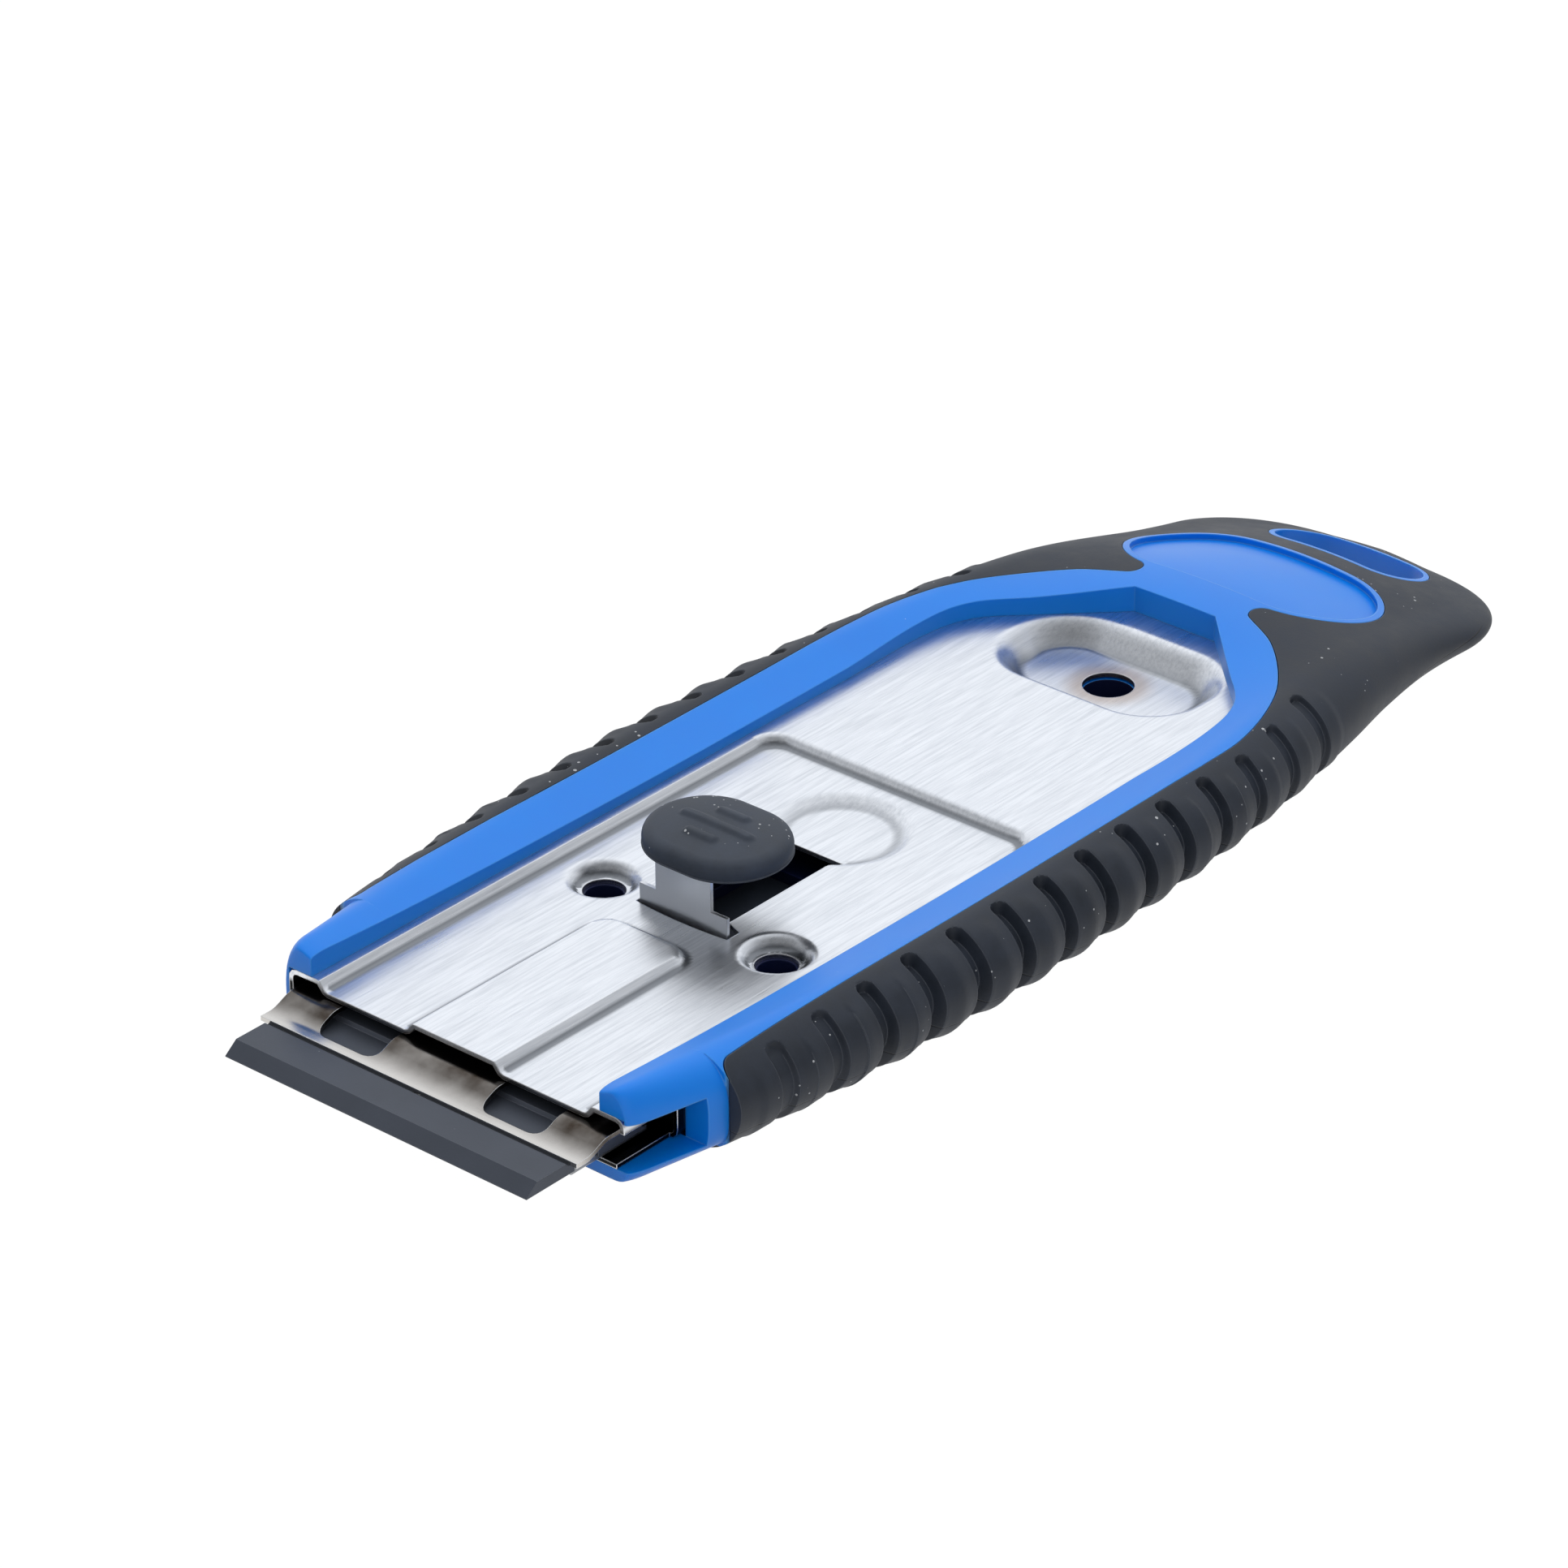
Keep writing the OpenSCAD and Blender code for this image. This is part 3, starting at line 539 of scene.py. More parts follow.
class MouldedPolypropylene(Finish):
    """Injection-moulded blue polypropylene: saturated, satin and faintly uneven."""

    label = "moulded_blue_polypropylene"
    edge_mm = 0.22
    colour = "#0078D8"
    deep = "#006FD0"
    # Lighter blue on the edges: a little wear with a painted highlight.
    rub_and_highlight = "#5FA3E8"
    rub_and_highlight_share = 0.35
    lint = "#BFD0E8"
    specks = (2.6, 0.07)
    glow = 0.25  # share of the light that spreads inside the plastic
    glow_reach = (0.15, 0.5, 1.0)  # red, green and blue, as shares of glow_mm
    glow_mm = 1.5
    rough = (0.3, 0.44)
    flow_mm = 11.0  # from one flow mark to the next
    grain_mm = 0.25  # the mould's spark-eroded grain
    depth = 0.35
    relief_mm = 0.006
    ior = 1.47

    def surface(self, tree: bpy.types.NodeTree, skin: Skin) -> bpy.types.NodeSocket:
        """Builds the satin skin with its flow marks and spark-eroded grain.

        Args:
            tree: The material's node tree.
            skin: Coordinates, the rounded normal and the edges.

        Returns:
            The shader's output socket.
        """
        flow = self.noise(tree, skin.coords, self.flow_mm)
        grain = self.noise(tree, skin.coords, self.grain_mm, 2.0)
        body = self.mix(tree, flow, linear(self.deep), linear(self.colour))
        rough = self.span(tree, flow, (0, self.rough[0]), (1, self.rough[1]))
        colour = self.dusty(tree, skin, self.rubbed_and_highlit(tree, skin, body))
        return self.coat(tree, skin, grain,
                         {"Base Color": colour, "Roughness": rough, "IOR": self.ior,
                          "Subsurface Weight": self.glow,
                          "Subsurface Radius": self.glow_reach,
                          "Subsurface Scale": self.glow_mm * MM})


class ShadedPolypropylene(MouldedPolypropylene):
    """The same blue, painted dark as shade deep in the channel, bores and wells."""

    label = "shaded_blue_polypropylene"
    colour = "#04103A"
    deep = "#030A24"
    # Its edges are lighter by a painted highlight within the painted shade.
    rub_and_highlight = "#0A1C54"
    glow = 0.0
    rough = (0.5, 0.6)


class MouldedElastomer(Finish):
    """Black thermoplastic elastomer: matt, slightly mottled, and it holds pale dust."""

    label = "moulded_black_elastomer"
    edge_mm = 0.16
    colour = "#1B2028"
    mottled = "#262C37"
    # Grey on the edges: wear with a painted highlight.
    rub_and_highlight = "#565B64"
    rub_and_highlight_share = 0.5
    lint = "#9DA0A4"
    specks = (1.2, 0.19)
    line = "#101113"
    parting = 3.1  # height of the mould's parting line above the rest plane
    parting_w = 0.09
    line_depth = -4.0  # against the grain's height
    flanks = (0.8, 0.65)  # the normal's upward share where the line starts and is full
    mottle_mm = 5.0
    grain_mm = 0.3
    relief_mm = 0.02
    rough = (0.5, 0.64)
    ior = 1.42

    def surface(self, tree: bpy.types.NodeTree, skin: Skin) -> bpy.types.NodeSocket:
        """Builds the matt skin with its dust, its rubbed edges lit by a painted highlight, and
        the mould's parting line.

        Args:
            tree: The material's node tree.
            skin: Coordinates, the rounded normal and the edges.

        Returns:
            The shader's output socket.
        """
        mottle = self.noise(tree, skin.coords, self.mottle_mm, 6.0, 0.7)
        grain = self.noise(tree, skin.coords, self.grain_mm)
        height = add_node(tree, "ShaderNodeSeparateXYZ", {"Vector": skin.coords}).outputs["Z"]
        off = add_node(tree, "ShaderNodeMath", {0: height, 1: self.parting * MM},
                       operation="SUBTRACT")
        near = add_node(tree, "ShaderNodeMath", {0: off.outputs[0]}, operation="ABSOLUTE")
        line = self.span(tree, near.outputs[0], (self.parting_w * MM, 0), (0, 1))
        facing = add_node(tree, "ShaderNodeSeparateXYZ", {"Vector": skin.normal}).outputs["Z"]
        flank = self.span(tree, facing, (self.flanks[0], 0), (self.flanks[1], 1))
        seam = self.times(tree, line, flank)
        relief = add_node(tree, "ShaderNodeMath", {0: seam, 1: self.line_depth, 2: grain},
                          operation="MULTIPLY_ADD").outputs[0]
        body = self.mix(tree, self.span(tree, mottle, (0.3, 0), (0.7, 1)),
                        linear(self.colour), linear(self.mottled))
        lined = self.mix(tree, seam, self.rubbed_and_highlit(tree, skin, body), linear(self.line))
        rough = self.span(tree, mottle, (0.3, self.rough[0]), (0.7, self.rough[1]))
        return self.coat(tree, skin, relief,
                         {"Base Color": self.dusty(tree, skin, lined), "Roughness": rough,
                          "IOR": self.ior})


class DustyRubber(MouldedElastomer):
    """The thumb button's rubber: the same black, with finer and denser dust."""

    label = "dusty_button_rubber"
    edge_mm = 0.1
    colour = "#252B34"
    mottled = "#343B47"
    parting = -10.0  # below the button, so that it shows no line
    specks = (0.7, 0.27)


class RolledSteel(Finish):
    """Cold-rolled sheet steel: fine streaks along its rolling direction."""

    label = "rolled_steel"
    edge_mm = 0.1
    colour = "#B9BABC"
    # Near white on the edges: burnished steel, brightened by a painted highlight.
    rub_and_highlight = "#F2F3F5"
    rub_and_highlight_share = 1.0
    rough = (0.2, 0.32)
    along = (1.0, 0.012, 1.0)  # the streaks' fineness along X, Y and Z, as shares
    relief_mm = 0.003
    streak_mm = 0.12  # from streak to streak, a little coarser than the real ones
    scratch_mm = 0.3
    scratch_along = (1.0, 0.05, 1.0)
    scratch_turn = 24.0  # degrees between the streaks and the stray scratches
    scratch_depth = -1.5  # against the streaks' height
    cloud_mm = 7.0  # across a patch that is duller or brighter

    def tint(self, tree: bpy.types.NodeTree, skin: Skin) -> bpy.types.NodeSocket | tuple:
        """Returns the metal's colour, or a socket that gives it."""
        return linear(self.colour)

    def surface(self, tree: bpy.types.NodeTree, skin: Skin) -> bpy.types.NodeSocket:
        """Builds bare metal with rolling streaks, a few stray scratches and burnished edges.

        Args:
            tree: The material's node tree.
            skin: Coordinates, the rounded normal and the edges.

        Returns:
            The shader's output socket.
        """
        drawn = add_node(tree, "ShaderNodeMapping", {"Vector": skin.coords, "Scale": self.along})
        streak = self.noise(tree, drawn.outputs["Vector"], self.streak_mm, 4.0, 0.6)
        turned = add_node(tree, "ShaderNodeMapping",
                          {"Vector": skin.coords, "Scale": self.scratch_along,
                           "Rotation": (0, 0, math.radians(self.scratch_turn))})
        stray = self.noise(tree, turned.outputs["Vector"], self.scratch_mm, 2.0)
        # Only the peaks of the noise are scratches, so there are few
        scratch = self.span(tree, stray, (0.66, 0), (0.74, 1))
        cloud = self.noise(tree, skin.coords, self.cloud_mm, 5.0, 0.6)
        rough = self.span(tree, self.times(tree, streak, cloud), (0.12, self.rough[0]),
                          (0.4, self.rough[1]))
        marks = add_node(tree, "ShaderNodeMath",
                         {0: scratch, 1: self.scratch_depth, 2: streak},
                         operation="MULTIPLY_ADD")
        colour = self.rubbed_and_highlit(tree, skin, self.tint(tree, skin))
        return self.coat(tree, skin, marks.outputs[0],
                         {"Base Color": colour, "Metallic": 1.0, "Roughness": rough})


class SheathSteel(RolledSteel):
    """Bright pressed steel, streaked, with a brown heat tint round the rear hole."""

    label = "bright_pressed_steel"
    edge_mm = 0.17
    colour = "#E9ECF1"
    dull = "#CFD3D9"
    rough = (0.26, 0.38)
    depth = 0.9
    dull_mm = 0.35  # from one dull streak to the next
    dull_along = (1.0, 0.04, 1.0)
    heated = "#A58463"
    heat_ring = (2.9, 5.6)  # radii round the rear hole where the brown is full and ends
    heat = 0.5
    # Painted shade: darker in the pressed creases, where the pointiness falls below a flat
    # face's.
    crease_shade = "#6E7278"
    crease_at = (0.497, 0.475)  # pointiness, which is 0.5 on a flat face
    crease_share = 0.85
    mouth_shade = "#0E0F11"  # painted shade inside the mouth
    mouth_end = (11.0, 8.0)  # along Y, where the shade starts and is full
    mouth_top = (-1.0, -1.5)  # along Z, the same

    def tint(self, tree: bpy.types.NodeTree, skin: Skin) -> bpy.types.NodeSocket | tuple:
        """Makes the colour duller in streaks, brown round the rear hole, and dark with painted
        shade in the creases and the mouth.

        Args:
            tree: The material's node tree.
            skin: Coordinates, the rounded normal and the edges.

        Returns:
            The colour's socket.
        """
        x, y, _ = Bench.place(np.array([0.0, OUTLINES.rear_y, 0.0]))
        level = add_node(tree, "ShaderNodeMapping",
                         {"Vector": skin.coords, "Location": (-x, -y, 0), "Scale": (1, 1, 0)})
        away = add_node(tree, "ShaderNodeVectorMath", {0: level.outputs["Vector"]},
                        operation="LENGTH")
        ring_in, ring_out = self.heat_ring
        heat = add_node(tree, "ShaderNodeMapRange",
                        {"Value": away.outputs["Value"], "From Min": ring_in * MM,
                         "From Max": ring_out * MM, "To Min": self.heat, "To Max": 0.0},
                        interpolation_type="SMOOTHSTEP")
        drawn = add_node(tree, "ShaderNodeMapping",
                         {"Vector": skin.coords, "Scale": self.dull_along})
        streak = self.noise(tree, drawn.outputs["Vector"], self.dull_mm, 5.0, 0.7)
        dulled = self.span(tree, streak, (0.4, 0), (0.7, 1))
        bent = add_node(tree, "ShaderNodeNewGeometry").outputs["Pointiness"]
        creased = self.span(tree, bent, (self.crease_at[0], 0),
                            (self.crease_at[1], self.crease_share))
        # Painted shade: dark inside the mouth, below the face and towards the front.
        mouth = self.times(tree, self.band(tree, skin, "Y", self.mouth_end),
                           self.band(tree, skin, "Z", self.mouth_top))
        colour = linear(self.colour)
        for share, hue in ((dulled, self.dull), (heat.outputs["Result"], self.heated),
                           (creased, self.crease_shade), (mouth, self.mouth_shade)):
            colour = self.mix(tree, share, colour, linear(hue))
        return colour


class ClampSteel(RolledSteel):
    """Spring steel strip with a faint bronze tarnish, darkened towards the sheath by painted
    shade and reflection.
    """

    label = "tempered_spring_strip"
    colour = "#CCC9C5"
    rough = (0.16, 0.28)
    along = (0.012, 1.0, 1.0)
    # Dark brown towards the sheath: tarnish, with painted shade and reflection of the dark
    # mouth.
    tarnish_and_shade = "#3A3129"
    tarnish_and_shade_band = (-4.7, -2.3)  # along Y, where the brown starts and is full
    patch_mm = 3.5  # across a patch of the brown

    def tint(self, tree: bpy.types.NodeTree, skin: Skin) -> bpy.types.NodeSocket | tuple:
        """Makes the colour cloudy, and browner and darker towards the sheath: tarnish with
        painted shade.

        Args:
            tree: The material's node tree.
            skin: Coordinates, the rounded normal and the edges.

        Returns:
            The colour's socket.
        """
        cloud = self.noise(tree, skin.coords, self.patch_mm, 4.0)
        patchy = self.span(tree, cloud, (0.3, 0.65), (0.7, 1.0))
        share = self.times(tree, patchy, self.band(tree, skin, "Y", self.tarnish_and_shade_band))
        return self.mix(tree, share, linear(self.colour), linear(self.tarnish_and_shade))


class PlainSteel(RolledSteel):
    """Plain grey steel of the lower jaw, rivets and studs."""

    label = "plain_grey_steel"
    colour = "#8E9093"
    # Paler grey on the edges: wear with a painted highlight.
    rub_and_highlight = "#C9CACC"
    rough = (0.28, 0.4)


class LatchSteel(RolledSteel):
    """Grey spring steel of the latch, streaks upright, sheared edges bright with a painted
    highlight.
    """

    label = "grey_spring_steel"
    colour = "#DCDFE4"
    rough = (0.3, 0.42)
    along = (1.0, 1.0, 0.05)


class BlackenedSteel(Finish):
    """Blackened blade steel: a satin graphite oxide with a fine sandy grain."""

    label = "blackened_blade_steel"
    edge_mm = 0.1
    colour = "#484D58"
    dark = "#3C414A"
    rub_and_highlight = "#7B7F86"  # the ground edges, half worn bare, with a painted highlight
    rub_and_highlight_share = 0.5
    lint = "#A9ADB3"
    specks = (2.2, 0.05)
    cloud_mm = 6.0
    grain_mm = 0.2
    metallic = 0.55  # the oxide hides about half of the metal's shine
    rough = 0.44

    def surface(self, tree: bpy.types.NodeTree, skin: Skin) -> bpy.types.NodeSocket:
        """Builds the oxide skin with its sandy grain and paler ground edges, worn and lit by a
        painted highlight.

        Args:
            tree: The material's node tree.
            skin: Coordinates, the rounded normal and the edges.

        Returns:
            The shader's output socket.
        """
        cloud = self.noise(tree, skin.coords, self.cloud_mm, 5.0)
        grain = self.noise(tree, skin.coords, self.grain_mm)
        body = self.mix(tree, cloud, linear(self.dark), linear(self.colour))
        colour = self.dusty(tree, skin, self.rubbed_and_highlit(tree, skin, body))
        return self.coat(tree, skin, grain,
                         {"Base Color": colour, "Metallic": self.metallic,
                          "Roughness": self.rough})


BLUE = MouldedPolypropylene()
SHADED = ShadedPolypropylene()
BLACK = MouldedElastomer()
BUTTON = DustyRubber()
SHEATH = SheathSteel()
CLAMP = ClampSteel()
PLAIN = PlainSteel()
LATCH = LatchSteel()
OXIDE = BlackenedSteel()


@dataclass(frozen=True)
class Surface:
    """The handle's outer surface, as in the part's source, in millimetres."""

    handle_len: float = 145.5
    grip_half: float = 29.0
    grip_height: float = 10.1
    rest_drop: float = Bench.rest_drop
    reach: float = 6.0
    power: float = 1.02
    tail_r: float = 12.0
    waist_share: float = 0.54
    groove_count: int = 14
    groove_pitch: float = 6.45
    groove_first: float = 16.6
    groove_half: float = 1.12
    groove_flat: float = 0.74
    groove_depth: float = 1.5
    groove_top: float = 66.0
    groove_clear: float = 2.1
    groove_foot: float = -64.0
    lobe_rise: float = 0.34
    lobe_fade: tuple[float, float, float] = (14.0, 20.0, 4.0)  # degrees past a groove's ends
    top_band: tuple[float, int] = (12.0, 19)  # degrees each way and points at a groove's top
    foot_band: tuple[float, float, int] = (4.0, 12.0, 10)  # the same above and below its foot
    strengths: tuple[float, ...] = (0.35, 0.5, 0.85, 1, 1, 1, 1, 1, 1, 0.95, 0.8, 0.6, 0.5, 0.42)
    wall_steps: tuple[float, ...] = (0, 0.4, 0.66, 0.76, 0.84, 0.92, 1.0, 1.08, 1.18, 1.4, 1.8,
                                     2.3, 2.8, 3.2)
    plain_step: float = 0.5
    tail_steps: tuple[float, ...] = (1.0, 0.6, 0.3, 0.12, 0.02)  # last sections, from the end
    plan: Table = ((0, 0.84), (0.1, 0.92), (0.2, 0.968), (0.3, 0.996), (0.364, 1),
                   (0.424, 0.994), (0.505, 0.979), (0.586, 0.95), (0.667, 0.901),
                   (0.748, 0.827), (0.808, 0.758), (0.869, 0.705), (0.94, 0.69), (1, 0.69))
    shoulder: Table = ((0, 1), (0.606, 1), (0.687, 1.005), (0.748, 0.985), (0.788, 0.93),
                       (0.828, 0.822), (0.879, 0.648), (0.919, 0.498), (0.96, 0.35),
                       (0.99, 0.24), (1, 0.2))
    middle: Table = ((0, 0.678), (0.556, 0.678), (0.606, 0.735), (0.657, 0.841),
                     (0.707, 0.98), (0.748, 1.065), (0.788, 1.07), (0.828, 0.995),
                     (0.879, 0.835), (0.919, 0.655), (0.96, 0.45), (0.99, 0.285), (1, 0.22))

    def half(self, y: np.ndarray) -> np.ndarray:
        """Works out the half width at y, with the tail's corners rounded off.

        Args:
            y: Places along the handle.

        Returns:
            One half width for each place.
        """
        d = np.clip(y - self.handle_len + self.tail_r, 0, self.tail_r)
        corner = self.tail_r - np.sqrt(np.maximum(0, self.tail_r**2 - d**2))
        return smooth_at(self.plan, y / self.handle_len) * self.grip_half - corner

    def shoulder_z(self, y: np.ndarray) -> np.ndarray:
        """Height of the shoulders at y."""
        return smooth_at(self.shoulder, y / self.handle_len) * self.grip_height - self.rest_drop

    def middle_z(self, y: np.ndarray) -> np.ndarray:
        """Height of the middle line at y."""
        return smooth_at(self.middle, y / self.handle_len) * self.grip_height - self.rest_drop

    def groove(self, y: np.ndarray, angle: np.ndarray) -> np.ndarray:
        """Depth of the round-ended finger grooves, less the bulge of the lobes.

        Args:
            y: Places along the handle.
            angle: Flank angles in degrees, 90 at the shoulder and -90 underneath.

        Returns:
            How far the surface goes in at each point.
        """
        k = np.clip(np.rint((y - self.groove_first) / self.groove_pitch), 0,
                    self.groove_count - 1)
        off = np.abs(y - self.groove_first - k * self.groove_pitch)
        arc = math.radians(1) * self.reach
        room = OUTLINES.frame_x(y) + self.groove_clear - self.half(y) + self.reach
        clear = np.degrees(np.arccos(np.clip(room / self.reach, 0, 1)))
        top = np.minimum(self.groove_top, clear)
        past = np.maximum(np.maximum(angle - top, self.groove_foot - angle), 0) * arc
        strength = np.array(self.strengths)[k.astype(int)]
        cut = 1 - soft_step(self.groove_flat, self.groove_half, np.hypot(off, past))
        lobe = soft_step(self.groove_half, self.groove_pitch / 2, off)
        lobe = lobe * (off <= self.groove_pitch / 2)
        below, inside, above = self.lobe_fade
        fade = (soft_step(self.groove_foot - below, self.groove_foot, angle)
                * (1 - soft_step(top - inside, top + above, angle)))
        return strength * (self.groove_depth * cut - self.lobe_rise * lobe * fade)

    def places(self, front: float) -> np.ndarray:
        """Places of the grip's sections: close together through the grooves' walls.

        Args:
            front: Where the first one is.

        Returns:
            The places, front to rear.
        """
        steps = np.array(self.wall_steps)
        near = np.r_[-steps[:0:-1], steps]
        middles = self.groove_first + self.groove_pitch * np.arange(self.groove_count)
        grooved = (middles[:, None] + near[None, :]).ravel()
        before = np.arange(front, grooved[0], self.plain_step)
        tail = self.handle_len - np.array(self.tail_steps)
        behind = np.arange(grooved[-1] + self.plain_step, tail[0], self.plain_step)
        return np.unique(np.r_[before, grooved, behind, tail].round(3))

    def flank(self, count: int, grooved: bool) -> np.ndarray:
        """Angles of a flank's points, close together at the grooves' round ends.

        Args:
            count: Points that are spread evenly.
            grooved: Whether the finger grooves are cut.

        Returns:
            The angles in degrees, from the shoulder down.
        """
        even = np.linspace(90, -90, count)
        near, points = self.top_band
        above, below, foot_points = self.foot_band
        ends = [np.linspace(self.groove_top - near, self.groove_top + near, points),
                np.linspace(self.groove_foot + above, self.groove_foot - below, foot_points)]
        return np.sort(np.concatenate([even, *ends]) if grooved else even)[::-1]

    def rows(self, places: np.ndarray, across: tuple[int, int, int], grooved: bool,
             half: np.ndarray, reach: np.ndarray, low: float,
             powers: tuple[float, float]) -> np.ndarray:
        """Closed sections along the handle.

        Args:
            places: The sections' places along Y.
            across: Points over the top, round a flank and along the bottom of one side.
            grooved: Whether the finger grooves are cut.
            half: Half width at each place.
            reach: How far the round flank comes in, at each place.
            low: Height of the flat bottom.
            powers: Fullness of the flank above and below its widest line.

        Returns:
            Points as sections by points by three; the first and last of each are one.
        """
        n_top, n_flank, n_foot = across
        y = places[:, None]
        edge, mid = (half - reach)[:, None], self.middle_z(places)[:, None]
        rise = (self.shoulder_z(places)[:, None] - mid)
        fall = (edge / (self.half(places)[:, None] - self.reach)) ** 2
        top = mid + rise * fall
        waist = self.waist_share * (self.shoulder_z(places)[:, None] + self.rest_drop)
        waist = waist - self.rest_drop
        s = np.linspace(0, 1, n_top, endpoint=False)[None, :]
        top_x, top_z = s * edge, mid + (top - mid) * s**2
        angle = self.flank(n_flank, grooved)[None, :]
        a = np.radians(angle)
        depth = self.groove(y, angle) if grooved else 0 * angle * y
        power = np.where(angle > 0, powers[0], powers[1])
        span = np.where(angle > 0, top - waist, waist - low) - depth
        out = (reach[:, None] - depth) * np.maximum(0, np.cos(a)) ** power
        # The shoulder leaves the top's slope smoothly, so no crease shows along it
        slope = 2 * (top - mid) / edge
        lift = slope * out * np.clip(1 - out / reach[:, None], 0, 1) ** 2 * (angle > 0)
        flank_x = edge + out
        flank_z = waist + span * np.sign(a) * np.abs(np.sin(a)) ** power + lift
        t = np.linspace(1, 0, n_foot + 1)[None, 1:]
        foot_x, foot_z = t * edge, np.full((len(places), n_foot), low)
        x = np.concatenate([top_x, flank_x, foot_x], 1)
        z = np.concatenate([top_z, flank_z, foot_z], 1)
        x = np.concatenate([-x[:, ::-1], x[:, 1:]], 1)
        z = np.concatenate([z[:, ::-1], z[:, 1:]], 1)
        return np.stack([x, np.broadcast_to(y, x.shape), z], 2)

    def grip_rows(self, places: np.ndarray, across: tuple[int, int, int],
                  grooved: bool) -> np.ndarray:
        """Sections of the grip at these places."""
        return self.rows(places, across, grooved, self.half(places),
                         np.full(len(places), self.reach), -self.rest_drop,
                         (self.power, 1.0))


def ring(x: float, y: float, radius: float, half: float = 0.0, count: int = 48) -> list[Point]:
    """Draws a circle, or an obround that lies across the handle.

    Args:
        x: Its middle across the handle.
        y: Its middle along the handle.
        radius: Radius of its round ends.
        half: Half the distance between the ends' middles.
        count: Corners in all.

    Returns:
        The outline.
    """
    turns = [2 * math.pi * (i + 0.5) / count for i in range(count)]
    return [(x + radius * math.cos(a) + math.copysign(half, math.cos(a)),
             y + radius * math.sin(a)) for a in turns]


def box(x0: float, x1: float, y0: float, y1: float) -> list[Point]:
    """Outline of a rectangle."""
    return [(x0, y0), (x1, y0), (x1, y1), (x0, y1)]


def both_sides(right: Sequence[Point]) -> list[Point]:
    """Closed outline from the points of its right side, front to rear."""
    return [*right, *[(-x, y) for x, y in reversed(right)]]


@dataclass(frozen=True)
class Outlines:
    """Places and outlines that the handle's parts share, in millimetres."""

    sheath_half: float = 21.2
    channel_len: float = 72.0
    channel_drop: float = 5.5
    cup: Point = (11.0, 32.9)
    rear_y: float = 97.6
    rear_hole_r: float = 2.7
    latch_end: float = 51.1
    core_z: float = -6.8
    high: float = 12.0  # above everything
    over: float = 1.0  # what a cutting solid runs past what it cuts
    core_half: float = 23.0
    core_len: float = 110.6
    window_half: float = 18.2
    window_len: float = 108.5
    neck_r: float = 2.5
    tip: tuple[float, float, float] = (8.9, 111.99, 1.7)
    tip_turn: tuple[float, float] = (240.7, 103.6)
    pad_r: float = 8.5
    pad_half: float = 6.5
    pad_y: float = 121.9
    pad_rim: float = 0.7
    slot_y: float = 139.0
    slot_r: float = 4.0
    slot_half: float = 4.9
    lining_t: float = 0.6
    grip_front: float = 10.5
    corner_r: float = 1.6
    seam: float = 0.09
    steps: tuple[int, int] = (40, 60)  # points of the frame's and of the window's side
    corners: tuple[int, int] = (96, 64)  # corners of the pad and of the hanging slot
    frame: Table = ((1, 0.75), (0.985, 0.81), (0.914, 0.869), (0.785, 0.923), (0.56, 0.975),
                    (0.344, 1))
    window: Table = ((1, 0.72), (1.015, 0.79), (1.01, 0.83), (0.985, 0.863), (0.93, 0.888),
                     (0.847, 0.907), (0.737, 0.925), (0.286, 1))

    def curve(self, table: Table, half: float, length: float, steps: int) -> list[Point]:
        """Draws a smooth curve through a table's points.

        Args:
            table: Pairs of shares, of the half width and of the length.
            half: The half width.
            length: The length.
            steps: Points of the curve.

        Returns:
            The curve's points.
        """
        points = np.array(table) * (half, length)
        run = np.r_[0, np.cumsum(np.hypot(*np.diff(points, axis=0).T))]
        at = np.linspace(0, run[-1], steps)
        x = smooth_at(tuple(zip(run, points[:, 0])), at)
        y = smooth_at(tuple(zip(run, points[:, 1])), at)
        return list(zip(x.tolist(), y.tolist()))

    def frame_edge(self, y0: float, grow: float = 0.0) -> list[Point]:
        """Outline of the core against the overmould.

        Args:
            y0: Where it starts.
            grow: How much larger it is on all sides.

        Returns:
            The outline.
        """
        half = self.core_half + grow
        side = self.curve(self.frame, half, self.core_len + grow, self.steps[0])
        turn = [math.radians(a) for a in range(0, 91, 10)]
        r, front = self.corner_r, self.grip_front + grow
        corner = [(half + r * (1 - math.sin(a)), front + r * (1 - math.cos(a))) for a in turn]
        return both_sides([(half + r, y0), *corner, *side])

    def frame_x(self, y: np.ndarray) -> np.ndarray:
        """Half width of the core against the overmould at y."""
        side = np.array(self.curve(self.frame, self.core_half, self.core_len, self.steps[0]))
        return np.interp(y, side[:, 1], side[:, 0], right=0.0)

    def window_edge(self, y0: float, extra: float = 0.0) -> list[Point]:
        """Outline of the steel that shows.

        Args:
            y0: Where it starts.
            extra: How much wider it is, and how much longer at its rear.

        Returns:
            The outline.
        """
        side = self.curve(self.window, self.window_half, self.window_len, self.steps[1])
        grown = [(x + extra, y + (extra if i == len(side) - 1 else extra * i / len(side)))
                 for i, (x, y) in enumerate(side)]
        return both_sides([(self.window_half + extra, y0), *grown])

    def neck(self, grow: float = 0.0) -> list[Point]:
        """Outline of the neck, hollowed on each side by the overmould's round tip.

        Args:
            grow: How much larger it is on all sides.

        Returns:
            The outline.
        """
        x, y, r = self.tip
        first, last = self.tip_turn
        arc = [math.radians(a) for a in np.linspace(first, last, 24)]
        side = [(x + (r - grow) * math.cos(a), y + (r - grow) * math.sin(a)) for a in arc]
        return both_sides([(side[0][0] + grow, self.core_len - self.neck_r), *side,
                           (side[-1][0] - grow, self.pad_y - self.neck_r)])

    def pad(self, grow: float = 0.0) -> list[Point]:
        """Outline of the thumb pad, grown on all sides."""
        return ring(0, self.pad_y, self.pad_r + grow, self.pad_half, self.corners[0])

    def slot(self, grow: float = 0.0) -> list[Point]:
        """Outline of the hanging slot, grown on all sides."""
        return ring(0, self.slot_y, self.slot_r + grow, self.slot_half, self.corners[1])


SURFACE = Surface()
OUTLINES = Outlines()


